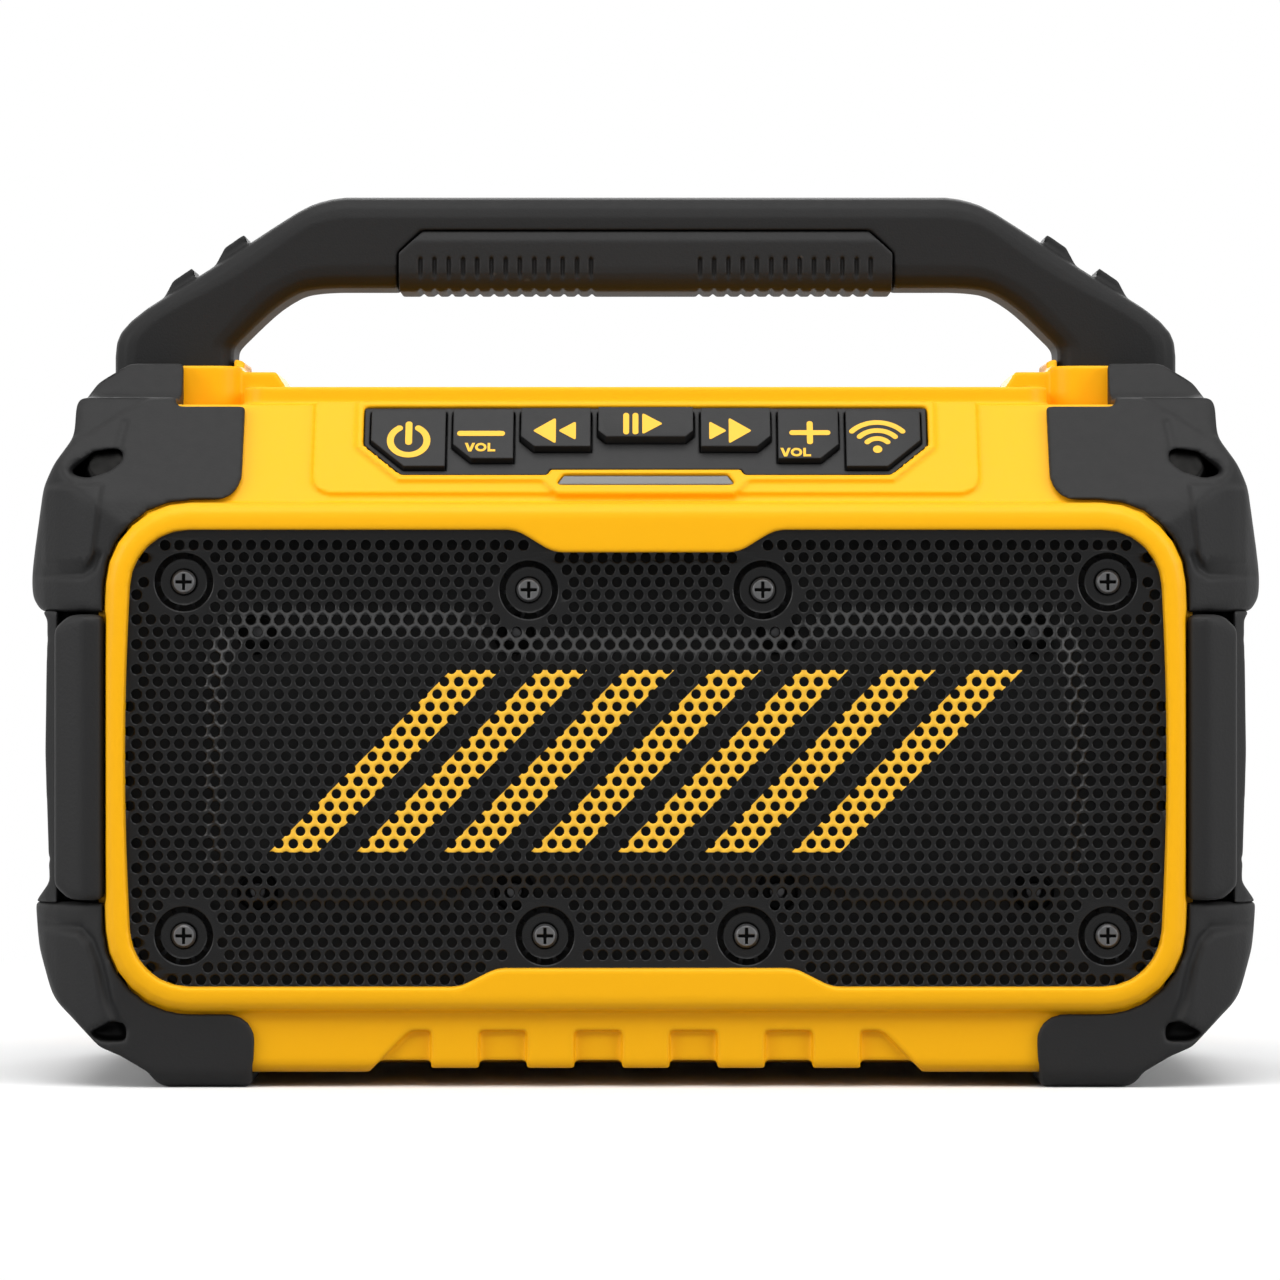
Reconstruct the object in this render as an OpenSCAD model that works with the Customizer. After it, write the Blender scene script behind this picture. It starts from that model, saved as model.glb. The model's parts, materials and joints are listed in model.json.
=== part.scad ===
// Jobsite speaker: a moulded two-part housing with rubber bumpers, a stamped grille, two drivers, a sloped
// keypad, a carrying handle and a rear battery bay. Front faces -Y, Z is up, the origin is under the middle.

/* [Housing] */
// width of the moulded housing without its rubber
body_w = 240; // [236:1:248]
// depth of the moulded housing, skirt to rear wall
body_d = 124; // [120:1:132]
// height of the housing's flat top
body_top = 139.5; // [139:0.5:142]
// height of the housing's underside above the floor
base_z = 3; // [2:0.5:4]
// wall thickness of the mouldings
wall = 2.5; // [2:0.1:3]
// how far the bezel and the rear rubber stand proud of the housing
proud = 4; // [3.5:0.5:5]
// rounding of the housing's upright edges
edge_r = 22; // [18:1:24]
// depth of the front housing behind the skirt
front_depth = 36; // [34:1:37]

/* [Grille] */
// distance of the bezel's edge from the housing's side
bezel_inset = 8.8; // [8:0.1:11]
// height of the bezel's lower edge
bezel_low = 15.5; // [14:0.5:16]
// height of the bezel's upper edge
bezel_high = 118.9; // [118:0.1:119]
// width of the bezel's rim round the grille
bezel_rim = 5.2; // [4.5:0.1:5.6]
// rounding of the bezel's outer edge
bezel_round = 3; // [2:0.1:3.4]
// how far the sides of the bezel and grille bow out
bow = 2.2; // [1:0.1:3]
// depth of the grille's flange behind the bezel's face
grille_inset = 4.5; // [4:0.1:5]
// height of the grille's raised field over its flange
field_rise = 3.2; // [2:0.1:3.4]
// thickness of the grille sheet
sheet_t = 1; // [0.8:0.1:1.2]
// spacing of the perforations
perf_pitch = 5; // [5:0.5:7]
// diameter of the perforations
perf_d = 3.3; // [2.5:0.1:3.5]

/* [Drivers] */
// room between each driver's half of the front and the housing's side
driver_margin = 14; // [10:0.5:20]
// height of the drivers' axes
driver_z = 66; // [65:0.5:68]
// diameter of the drivers' flanges
driver_d = 79; // [78:0.5:80]
// travel of a cone each way
cone_travel = 2; // [1:0.5:2.5]

/* [Controls] */
// depth of the control panel's slope
panel_run = 15; // [14:0.5:16]
// rise of the control panel's slope
panel_rise = 20; // [19.5:0.5:20.5]
// width of the keypad
pad_w = 114; // [110:1:118]
// half width of the play key
play_half = 10.5; // [10:0.1:11.5]
// half width of the three middle keys
skip_half = 26.3; // [25.5:0.1:27.5]
// half width of the five middle keys
volume_half = 40.2; // [39.5:0.1:41.5]
// travel of a key
key_travel = 1; // [0.6:0.1:1.1]

/* [Handle] */
// height of the top of the handle
handle_top = 184.5; // [180:0.5:190]
// depth of the handle, front to back
handle_d = 28; // [25:0.5:30]
// thickness of the handle's straight bar
handle_t = 19.2; // [18:0.1:21]
// distance of the handle's legs from the housing's sides
handle_inset = 8; // [7.5:0.25:8.5]
// distance of the grip's ends from the outside of the legs
grip_margin = 60; // [58:1:64]

/* [Rubber] */
// thickness of the rubber over the housing's sides
bumper_side = 6.5; // [5:0.25:8]
// thickness of the rubber over the front of the housing
bumper_t = 2.5; // [2:0.1:3]
// how far each bumper reaches in over the front
bumper_reach = 37.7; // [36:0.1:39]

/* [Battery bay] */
// inside width of the bay
bay_w = 86; // [80:1:88]
// depth of the bay from the rear wall
bay_depth = 29; // [26:1:31]
// height of the bay's floor
bay_floor = 18; // [17:1:30]
// gap between the bay's rail stems
rail_gap = 44; // [40:1:50]

/* [Ports] */
// distance of the port pocket's middle from the bay's rim
port_gap = 19; // [18.5:0.25:20]
// height of the port pocket's middle
port_z = 62; // [58:1:70]
// width of the port pocket
port_w = 24; // [24:0.5:25]
// height of the port pocket
port_h = 18; // [17:1:22]
// bore of the auxiliary jack
aux_d = 3.6; // [3.5:0.1:3.8]
// opening angle of the port flap
flap_open = 110; // [90:5:120]

/* [Hidden] */
$fn = 32;

yellow = [0.98, 0.71, 0.08];
black = [0.1, 0.1, 0.1];
rubber = [0.16, 0.16, 0.16];
steel = [0.7, 0.7, 0.72];
paper = [0.2, 0.2, 0.2];
board = [0.05, 0.3, 0.15];
copper = [0.8, 0.5, 0.25];

// clearances: sliding pieces, seated pieces, screws in their holes
slip = 0.3;
seat = 0.2;
screw_gap = 0.1;
// long enough to cut right through anything
far = 400;

bezel_w = body_w - 2 * bezel_inset;
driver_x = (body_w / 2 - driver_margin) / 2;
handle_w = body_w - 2 * handle_inset;
grip_len = handle_w - 2 * grip_margin;
lobe = body_w / 2 + bumper_side;
bumper_in = body_w / 2 - bumper_reach;
plateau_half = pad_w / 2 + 11;
front_y = -body_d / 2;
rear_y = body_d / 2;
split_y = front_y + front_depth;
bezel_y = front_y - proud;
flange_y = bezel_y + grille_inset;
field_y = flange_y - field_rise;
// the shallow dish under each grille screw, and the boss behind it
dish_depth = 1.5;
dish_r = 6.1;
boss_y = flange_y + dish_depth + sheet_t;
baffle_y = boss_y + 2;
baffle_back = baffle_y + 3;
screw_r = 1.5;
head_r = 2.8;
boss_r = 4;

// Corners of a polygon given as [x, y, radius], each rounded by its radius.
function rounded(pts, steps = 6) = [
  for (i = [0 : len(pts) - 1])
    each corner(pts[(i + len(pts) - 1) % len(pts)], pts[i], pts[(i + 1) % len(pts)], steps)];
function corner(a, p, b, steps) = p[2] == 0 ? [[p[0], p[1]]] :
  let (q = [p[0], p[1]], u = unit([a[0], a[1]] - q), v = unit([b[0], b[1]] - q),
    half = acos(u * v) / 2, c = q + unit(u + v) * p[2] / sin(half),
    s = q + u * p[2] / tan(half) - c, e = q + v * p[2] / tan(half) - c,
    start = atan2(s[1], s[0]), turn = (atan2(e[1], e[0]) - start + 540) % 360 - 180)
  [for (k = [0 : steps]) c + p[2] * [cos(start + turn * k / steps), sin(start + turn * k / steps)]];
function unit(v) = v / norm(v);
// The right half of an outline, listed upwards, joined with its mirror image.
function both_sides(half) = concat(half,
  [for (i = [len(half) - 1 : -1 : 0]) [-half[i][0], half[i][1], half[i][2]]]);

// Outlines drawn as seen from the front, from the side and from above become prisms along Y, X and Z.
module along_y(y0, y1) translate([0, y1, 0]) rotate([90, 0, 0]) linear_extrude(y1 - y0) children();
module along_x(x0, x1) translate([x0, 0, 0]) rotate([90, 0, 90]) linear_extrude(x1 - x0) children();
module box(low, high) translate(low) cube(high - low);
module rod_y(x, z, y0, y1, r) translate([x, y0, z]) rotate([-90, 0, 0]) cylinder(r = r, h = y1 - y0);
module mirrored() { children(); mirror([1, 0, 0]) children(); }

// The housing's outer form: its front, side and top outlines meet in one solid.
panel_low = bezel_high + 0.6;
panel_foot_y = front_y + 2;
panel_top_y = panel_foot_y + panel_run;
panel_high = panel_low + panel_rise;
function housing_face() = rounded(both_sides([[body_w / 2 - 30, base_z, 12],
  [body_w / 2, base_z + 27, 18], [body_w / 2, 104, 30], [body_w / 2 - 9, body_top, 4]]));
function housing_side() = rounded([[front_y, base_z, 3], [rear_y, base_z, 8], [rear_y, body_top, 10],
  [panel_top_y - (panel_high - body_top) * panel_run / panel_rise, body_top, 0],
  [panel_foot_y, panel_low, 3], [front_y, panel_low - 3, 3]]);
function plan(w, y0, y1, r) = rounded([[-w / 2, y0, r], [w / 2, y0, r], [w / 2, y1, r], [-w / 2, y1, r]], 8);
module housing_form(inset = 0) intersection() {
  along_y(-far, far) offset(delta = -inset) polygon(housing_face());
  along_x(-far, far) offset(delta = -inset) polygon(housing_side());
  linear_extrude(far) polygon(plan(body_w - 2 * inset, front_y + inset, rear_y - inset, edge_r - inset));
}

// The bezel and the grille share one bowed outline; notches give the half width and depth of each dip.
notch_ramp = 7.5;
notch_r = 8;
top_notch = [18.8, 4.6];
low_notch = [30.3, 3.8];
function frame_outline(w, low, high, r, top_dip, low_dip, top_half, low_half) =
  let (mid = (low + high) / 2, side = w / 2 - bow, bow_r = 0.6 * (mid - low) * (mid - low) / bow,
    low_r = low_dip > 0 ? notch_r : 0, top_r = top_dip > 0 ? notch_r : 0)
  rounded(both_sides([[low_half, low + low_dip, low_r], [low_half + notch_ramp, low, low_r], [side, low, r],
    [w / 2, mid, bow_r], [side, high, r], [top_half + notch_ramp, high, top_r],
    [top_half, high - top_dip, top_r]]));
function bezel_outline(grow = 0) = frame_outline(bezel_w + 2 * grow, bezel_low - grow, bezel_high + grow,
  17 + grow, 0, 0, top_notch[0], low_notch[0]);
opening_low = bezel_low + bezel_rim - 0.2;
opening_high = bezel_high - bezel_rim - 0.3;
opening_w = bezel_w - 2 * bezel_rim + 1.2;
function opening_outline(grow = 0) = frame_outline(opening_w + 2 * grow, opening_low - grow,
  opening_high + grow, 12 + grow, top_notch[1], low_notch[1], top_notch[0] - grow, low_notch[0] - grow);
// The raised field of the grille, at the foot and at the top of its slope.
field_foot = [opening_w - 30.4, opening_low + 14.7, opening_high - 15.3];
field_head = [opening_w - 42.2, opening_low + 21, opening_high - 22.4];
function field_outline(size, grow) = frame_outline(size[0] + 2 * grow, size[1] - grow, size[2] + grow,
  8, 4.2, 4, 30, 34);
grille_screw_spots = [[opening_w / 2 - 12.6, opening_high - 10.6], [23.8, opening_high - 12.2],
  [opening_w / 2 - 12.6, opening_low + 10.3], [20.5, opening_low + 10.3]];
driver_spots = [-driver_x, driver_x];
driver_screw_r = driver_d / 2 - 2.5;
side_screw_x = body_w / 2 - 16;
housing_screw_spots = [[body_w / 2 - 50, base_z + 6], [plateau_half + 2, body_top - 6.5],
  [side_screw_x, driver_z + 1]];

// A solid between two outlines with as many points each, at depths y0 and y1.
module loft_y(a, y0, b, y1) {
  n = len(a);
  hub_a = [0, y0, (min([for (p = a) p[1]]) + max([for (p = a) p[1]])) / 2];
  hub_b = [0, y1, (min([for (p = b) p[1]]) + max([for (p = b) p[1]])) / 2];
  polyhedron(
    concat([for (p = a) [p[0], y0, p[1]]], [for (p = b) [p[0], y1, p[1]]], [hub_a, hub_b]),
    [for (i = [0 : n - 1]) let (j = (i + 1) % n)
      each [[i, j, 2 * n], [n + j, n + i, 2 * n + 1], [j, i, n + i], [j, n + i, n + j]]]);
}

// Places on the sloped control panel: X across, Y up the slope, Z out of it.
panel_len = norm([panel_run, panel_rise]);
panel_turn = atan2(panel_rise, panel_run);
module on_panel() translate([0, panel_foot_y, panel_low]) rotate([panel_turn, 0, 0]) children();
pad_low = 6.1;
pad_high = panel_len - 2.6;
pad_cut = 7.3;
pad_step = 1.5;
light_half = 18.1;
function pad_outline() = both_sides([[light_half + 1.9, pad_low + pad_step, 0],
  [light_half + 2.5, pad_low, 0], [pad_w / 2 - pad_cut, pad_low, 0], [pad_w / 2, pad_low + pad_cut, 0],
  [pad_w / 2, pad_high, 0]]);
function flat(pts) = [for (p = pts) [p[0], p[1]]];
light_low = 3;
light_high = 5.3;
function light_outline() = [[-light_half, light_low], [light_half, light_low],
  [light_half - 1.4, light_high], [-light_half + 1.4, light_high]];
plateau_rise = 1;
ridge_rise = 0.8;
// levels below the panel's face: keypad plate, key flange, key stem, switches and board
pad_back = -1.2;
key_flange_back = -2.8;
stem_end = -3;
switch_top = stem_end - key_travel - slip;
board_face = switch_top - 3.7;
board_t = 1.6;
board_half = plateau_half + 2 - boss_r - 1.5;
control_screw_spots = [[-board_half + 4, 6], [board_half - 4, 6]];
// [left, right, low, corner cut at the left, corner cut at the right, rise] of each key
key_low = 7.9;
keys = [
  [-pad_w / 2, -volume_half, pad_low, pad_cut, 0, 0.7],
  [-volume_half, -skip_half, key_low, 4.2, 0, 1],
  [-skip_half, -play_half, 10.8, 3.2, 0, 1.3],
  [-play_half, play_half, 13.1, 2.1, 2.1, 1.6],
  [play_half, skip_half, 10.8, 0, 3.2, 1.3],
  [skip_half, volume_half, key_low, 0, 4.2, 1],
  [volume_half, pad_w / 2, pad_low, 0, pad_cut, 0.7]];
// the plate shows key_margin round each key, and reaches pad_lip past them
key_margin = 0.5;
pad_lip = 0.6;
module key_face(k, grow) offset(delta = grow) polygon([[k[0], pad_high], [k[0], k[2] + k[3]],
  [k[0] + k[3], k[2]], [k[1] - k[4], k[2]], [k[1], k[2] + k[4]], [k[1], pad_high]]);

// The tray on top, its lip, and the sockets that the handle's legs stand in.
leg_in = handle_w / 2 - 25;
socket_in = leg_in - 2.5;
socket_out = handle_w / 2 + 2.5;
tray_half = socket_in - 1.5;
lip_top = panel_high + 3.7;
lip_t = 2.6;
tray_rear = 23;
socket_half = 24;
socket_top = 148.4;
post_in = socket_in + 12;
leg_floor = body_top + 2;

// The rubber's outer form, larger than the housing's.
rubber_front = front_y - bumper_t;
rubber_rear = rear_y + proud;
function rubber_face() = rounded(both_sides([
  [bumper_in - 2.9, 3, 0], [bumper_in - 1.7, 0, 1], [lobe - 27.6, 0, 4], [lobe - 25.2, 3.2, 1.2],
  [lobe - 19.6, 6.5, 3], [lobe - 15.4, 8.2, 3], [lobe - 5.2, 17.8, 8], [lobe - 1.9, 28, 12],
  [lobe - 1, 37.6, 2.5], [lobe - 4.5, 42, 2], [lobe - 3.5, 68, 60], [lobe - 4, 94.8, 2],
  [lobe - 0.2, 99.6, 2.5], [lobe, 104, 2], [lobe - 0.6, 108, 6], [lobe - 3, 122.4, 4],
  [lobe - 5, 126.4, 3], [lobe - 9.2, 132.8, 2], [lobe - 9.2, 139.8, 3], [lobe - 12.2, 144.4, 3],
  [lobe - 19, socket_top + 0.4, 4]]));
function rubber_side() = rounded([[rubber_front + 1.2, 0, 4], [rubber_rear, 0, 8],
  [rubber_rear, body_top, 12],
  [32, body_top + 2, 6], [27, socket_top + 0.4, 4], [-27, socket_top + 0.4, 4], [-32, body_top + 1.5, 6],
  [panel_top_y - 1.2, body_top + 1.5, 2], [panel_foot_y - 1.9, panel_low, 4],
  [rubber_front, panel_low - 6, 3]]);
module rubber_form() intersection() {
  along_y(-far, far) polygon(rubber_face());
  along_x(-far, far) polygon(rubber_side());
  linear_extrude(far) polygon(plan(2 * lobe + 2, rubber_front, rubber_rear, edge_r + 4));
}
upper_seam = 96.7;
lower_seam = 37.6;
seam = 0.5;
panel_seam = 0.15;
pad_bite = 1.6;
corner_r = 5.5;

// The battery bay's box in the rear of the housing.
bay_y = rear_y - bay_depth;
bay_wall = 3;
bay_out = bay_w / 2 + bay_wall;
bay_rim = 6;
port_x = bay_out + bay_rim + port_gap;
bay_screw_spots = [[bay_out + 3.5, bay_floor + 20], [bay_out + 3.5, bay_floor + 88]];
rail_low = bay_floor + 22;
rail_high = rail_low + 66;
block_half = 13;
block_top = rail_low + 22;
blade_pitch = 5;

// The port pocket in the rear wall.
pocket_floor = rear_y - 8;
pocket_wall = 2;
aux_spot = [port_x - 6, port_z];
power_spot = [port_x + 5.5, port_z];
jack_back = pocket_floor - 14;
aux_sleeve_r = 4;
power_sleeve_r = 4.6;
flap_lap = 3;
flap_t = 2.7;
flap_axis = [port_x - port_w / 2 - flap_lap, rear_y + 2];

module front_housing() color(yellow) {
  difference() {
    union() {
      difference() {
        intersection() {
          union() {
            housing_form();
            front_lip();
          }
          box([-far, -far, -far], [far, split_y, far]);
        }
        difference() {
          housing_form(wall);
          along_y(-far, baffle_back) polygon(opening_outline(wall));
        }
      }
      bezel();
      panel_relief();
      front_bosses();
    }
    difference() {
      along_y(-far, baffle_y) polygon(opening_outline());
      pocket_bosses();
    }
    for (x = driver_spots) {
      rod_y(x, driver_z, baffle_y - 1, baffle_back + 1, driver_d / 2 - 5);
      for (a = [45 : 90 : 315])
        rod_y(x + driver_screw_r * cos(a), driver_z + driver_screw_r * sin(a), baffle_y - 2, baffle_back + 1,
          screw_r + screw_gap);
    }
    for (p = grille_screw_spots)
      mirrored() rod_y(p[0], p[1], boss_y - 1, boss_y + 10, screw_r + screw_gap);
    for (p = housing_screw_spots)
      mirrored() rod_y(p[0], p[1], split_y - 15, split_y + 1, screw_r + screw_gap);
    on_panel() {
      translate([0, 0, -9]) linear_extrude(18) pad_face(pad_lip + seat);
      translate([0, 0, -9]) linear_extrude(18) offset(delta = seat) polygon(light_outline());
      for (p = control_screw_spots)
        translate([p[0], p[1], board_face - 1]) cylinder(r = screw_r + screw_gap, h = 6);
    }
    skirt_recess();
    mirrored() along_y(-far, front_y + 3) polygon(rounded([[bezel_w / 2 - pad_bite, lower_seam - seam, 1.5],
      [far, lower_seam - seam, 0], [far, upper_seam + seam, 0],
      [bezel_w / 2 - pad_bite, upper_seam + seam, 1.5]]));
  }
}

// The bezel stands proud of the front, and its outer edge is rounded in steps of bezel_turn degrees.
bezel_turn = 22.5;
module bezel() {
  along_y(bezel_y + bezel_round, front_y + 3) polygon(bezel_outline());
  for (a = [0 : bezel_turn : 90 - bezel_turn]) loft_y(
    bezel_outline(-bezel_round * (1 - cos(a))), bezel_y + bezel_round * (1 - sin(a)) + 0.02,
    bezel_outline(-bezel_round * (1 - cos(a + bezel_turn))),
    bezel_y + bezel_round * (1 - sin(a + bezel_turn)));
}

// the skirt's recess: how far back it is open below, and how far up
skirt_back = front_y + 32;
skirt_rise = 2.4;

// The rim along the front of the tray and back to the handle's sockets.
module front_lip() difference() {
  translate([0, 0, body_top - 1]) linear_extrude(lip_top - body_top + 1)
    polygon(plan(2 * tray_half, panel_top_y + 1.5, tray_rear + lip_t, 5));
  translate([0, 0, body_top - 2]) linear_extrude(far)
    polygon(plan(2 * (tray_half - lip_t), panel_top_y + 1.5 + lip_t, tray_rear, 3));
}

// The raised middle of the control panel and the ridge round the keypad.
module panel_relief() on_panel() {
  translate([0, 0, -wall]) linear_extrude(wall + plateau_rise) polygon(rounded([[-plateau_half, 1.2, 4],
    [plateau_half, 1.2, 4], [plateau_half, panel_len, 0], [-plateau_half, panel_len, 0]]));
  translate([0, 0, -wall]) linear_extrude(wall + plateau_rise + ridge_rise) intersection() {
    offset(delta = 2.2) union() {
      polygon(flat(pad_outline()));
      polygon([[-light_half - 2, pad_low], [light_half + 2, pad_low], [light_half - 1, light_low - 0.4],
        [1 - light_half, light_low - 0.4]]);
    }
    translate([-far, 0]) square([2 * far, panel_len]);
  }
}

// Bosses behind the baffle and the panel, and the thicker floor over the skirt's recess.
module front_bosses() {
  box([-60, front_y + 1, base_z + 1], [60, skirt_back + 2, base_z + skirt_rise + wall]);
  for (p = grille_screw_spots) mirrored() rod_y(p[0], p[1], baffle_back - 1, baffle_back + 5, boss_r);
  for (p = housing_screw_spots) mirrored() rod_y(p[0], p[1], split_y - 20, split_y, boss_r + 0.5);
  mirrored() box([side_screw_x, split_y - 20, driver_z], [body_w / 2 - 1, split_y, driver_z + 2]);
  intersection() {
    on_panel() for (p = control_screw_spots)
      translate([p[0], p[1], board_face]) cylinder(r = 3, h = -board_face);
    housing_form(1);
  }
}
module pocket_bosses() {
  for (p = grille_screw_spots) mirrored() rod_y(p[0], p[1], boss_y, baffle_y + 1, boss_r);
  for (x = driver_spots, a = [45 : 90 : 315])
    rod_y(x + driver_screw_r * cos(a), driver_z + driver_screw_r * sin(a), baffle_y - 2, baffle_y + 1, boss_r);
}

// The ribbed hand recess in the lower front edge.
module skirt_recess() difference() {
  union() {
    along_y(-far, front_y + 1.8) polygon(rounded([[-57.4, base_z - 1, 0], [57.4, base_z - 1, 0],
      [48, base_z + 8.6, 3], [-48, base_z + 8.6, 3]]));
    along_y(-far, skirt_back) polygon([[-57.4, base_z - 1], [57.4, base_z - 1],
      [57.4 - skirt_rise - 1, base_z + skirt_rise], [skirt_rise - 56.4, base_z + skirt_rise]]);
  }
  for (i = [-2 : 2]) translate([i * 19.4, 0, 0])
    box([-4.85, front_y, base_z + skirt_rise / 2 - 0.3], [4.85, far, base_z + 10]);
}

// The rear shell runs back to panel_y, where the rear panel closes it.
panel_y = rear_y - 12;
module rear_housing() color(yellow) intersection() {
  rear_form();
  box([-far, -far, -far], [far, panel_y, far]);
}
module rear_panel() color(yellow) intersection() {
  rear_form();
  box([-far, panel_y, -far], [far, far, far]);
}
module rear_form() difference() {
  union() {
    difference() {
      intersection() {
        housing_form();
        box([-far, split_y, -far], [far, far, far]);
      }
      housing_form(wall);
    }
    for (p = housing_screw_spots) mirrored() intersection() {
      rod_y(p[0], p[1], split_y, rear_y, boss_r + 1.5);
      housing_form(0.5);
    }
    intersection() {
      mirrored() box([side_screw_x, split_y, driver_z], [far, far, driver_z + 2]);
      housing_form(1);
    }
    along_y(pocket_floor - pocket_wall, rear_y - 1) polygon(port_outline(pocket_wall));
  }
  for (p = housing_screw_spots) mirrored() {
    rod_y(p[0], p[1], split_y - 1, far, screw_r + screw_gap);
    rod_y(p[0], p[1], 0, far, head_r + 0.6);
  }
  box([-bay_out - seat, bay_y - bay_wall - seat, bay_floor - bay_wall - seat], [bay_out + seat, far, far]);
  mirrored() for (p = bay_screw_spots) rod_y(p[0], p[1], rear_y - far, far, screw_r + screw_gap);
  along_y(pocket_floor, far) polygon(port_outline(0));
  rod_y(aux_spot[0], aux_spot[1], pocket_floor - far, far, aux_sleeve_r + seat);
  rod_y(power_spot[0], power_spot[1], pocket_floor - far, far, power_sleeve_r + seat);
  mirrored() for (p = leg_bolt_spots) translate([p, 0, body_top - 9]) cylinder(r = 2.7, h = 18);
  gasket_ring(seat / 2);
}
leg_bolt_spots = [leg_in + 6, leg_in + 16];
function port_outline(grow) = rounded([[port_x - port_w / 2 - grow, port_z - port_h / 2 - grow, 4],
  [port_x + port_w / 2 + grow, port_z - port_h / 2 - grow, 4],
  [port_x + port_w / 2 + grow, port_z + port_h / 2 + grow, 4],
  [port_x - port_w / 2 - grow, port_z + port_h / 2 + grow, 4]]);

// The mounts sit on the shell's top: a socket for each leg, joined by the rim round the tray.
module handle_mounts() color(yellow) difference() {
  union() {
    handle_sockets();
    intersection() {
      front_lip();
      box([-far, split_y, body_top], [far, far, far]);
    }
  }
  housing_form();
  box([-bay_out - seat, bay_y - bay_wall - seat, 0], [bay_out + seat, far, far]);
  mirrored() for (p = leg_bolt_spots) translate([p, 0, body_top - 9]) cylinder(r = 2.7, h = 18);
}

// Walls round the handle's legs, with a fin up the inside and a ramp down to the tray.
module handle_sockets() mirrored() {
  difference() {
    union() {
      translate([0, 0, body_top - wall]) linear_extrude(socket_top - body_top + wall)
        polygon(rounded([[socket_in, -socket_half, 6], [socket_out, -socket_half, 6],
          [socket_out, socket_half, 6], [socket_in, socket_half, 6]]));
      along_y(-13, 13) polygon([[socket_in, body_top], [leg_in + 1, body_top], [leg_in + 1, socket_top + 2.4],
        [socket_in, socket_top + 1.2]]);
      along_y(-socket_half + 4, socket_half - 4) polygon([[socket_in + 2, body_top - 1],
        [socket_in + 2, socket_top - 1.2],
        [socket_in - 7, socket_top - 1.2], [socket_in - 12.5, body_top - 1]]);
    }
    box([leg_in - seat, -handle_d / 2 - seat, leg_floor], [handle_w / 2 + seat, handle_d / 2 + seat, far]);
    along_y(-far, far) polygon([[socket_out - 8, far], [socket_out - 8, socket_top - 1],
      [socket_out, socket_top - 6.6], [far, socket_top - 6.6]]);
  }
}

module gasket_ring(gap) along_y(split_y - gap, split_y + 1 + gap) difference() {
  offset(delta = -0.7 + gap) polygon(housing_face());
  offset(delta = -1.7 - gap) polygon(housing_face());
}

// A cross-headed screw: the head sits at z = 0 and the shank runs up from it.
module screw(r, head, head_h, len) difference() {
  union() {
    translate([0, 0, -head_h * 0.5]) cylinder(r = head, h = head_h * 0.5);
    translate([0, 0, -head_h]) cylinder(r1 = head * 0.72, r2 = head, h = head_h * 0.5);
    cylinder(r = r, h = len);
  }
  for (a = [0, 90]) rotate(a) translate([-head * 0.6, -head * 0.12, -head_h - 1])
    cube([head * 1.2, head * 0.24, 1 + head_h * 0.55]);
}
module screw_y(x, y, z, dir, r, head, head_h, len)
  translate([x, y, z]) rotate([-90 * dir, 0, 0]) screw(r, head, head_h, len);

module housing_screws() color(steel) mirrored() {
  for (p = housing_screw_spots) screw_y(p[0], 0, p[1], -1, screw_r, head_r, 2.4, -split_y + 13);
  for (p = bay_screw_spots) screw_y(p[0], rear_y + 1.8, p[1], -1, screw_r, 2.6, 1.6, 8);
}

// The sheet is a flat flange, a slope and a flat raised field; the flat parts are perforated.
lap = 0.4;
module field_hat(depth) loft_y(field_outline(field_foot, 0), flange_y + sheet_t + depth,
  field_outline(field_head, 0), field_y + depth);
module speaker_grille() color(black) difference() {
  union() {
    along_y(flange_y, flange_y + sheet_t) difference() {
      polygon(opening_outline(-slip));
      polygon(field_outline(field_foot, -sheet_t));
      perforations(false);
    }
    along_y(field_y, field_y + sheet_t) difference() {
      polygon(field_outline(field_head, -sheet_t));
      perforations(true);
    }
    difference() {
      field_hat(0);
      field_hat(sheet_t);
      along_y(-far, 0) polygon(field_outline(field_head, -sheet_t - lap));
    }
    intersection() {
      for (p = grille_screw_spots) mirrored()
        rod_y(p[0], p[1], flange_y + sheet_t / 2, boss_y, dish_r + 0.6);
      along_y(-far, far) polygon(opening_outline(-slip));
    }
  }
  for (p = grille_screw_spots) mirrored() {
    translate([p[0], flange_y - 0.01, p[1]]) rotate([-90, 0, 0])
      cylinder(r1 = dish_r, r2 = dish_r - 2, h = dish_depth + 0.01);
    rod_y(p[0], p[1], flange_y, far, screw_r + screw_gap);
  }
}
// A hole is left out where it would cut the sheet's edge or a screw's dish.
perf_row = perf_pitch * sqrt(3) / 2;
perf_rows = floor((opening_high - opening_low) / 2 / perf_row);
perf_cols = floor(opening_w / 2 / perf_pitch);
perf_mid = (opening_low + opening_high) / 2;
function perf_clear(x, z) =
  let (edge = perf_d / 2 + 1.4, rise = abs(z - perf_mid) / (perf_mid - opening_low),
    top = opening_high - (abs(x) < top_notch[0] + notch_ramp + 1 ? top_notch[1] : 0),
    low = opening_low + (abs(x) < low_notch[0] + notch_ramp + 1 ? low_notch[1] : 0))
  abs(x) < opening_w / 2 - bow * rise - edge && z < top - edge && z > low + edge
  && norm([max(0, abs(x) - opening_w / 2 + bow + 12), max(0, abs(z - perf_mid) - perf_mid + opening_low + 12)])
    < 12 - edge
  && min([for (p = grille_screw_spots) norm([abs(x) - p[0], z - p[1]])]) > dish_r + perf_d / 2 + 0.9;
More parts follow.
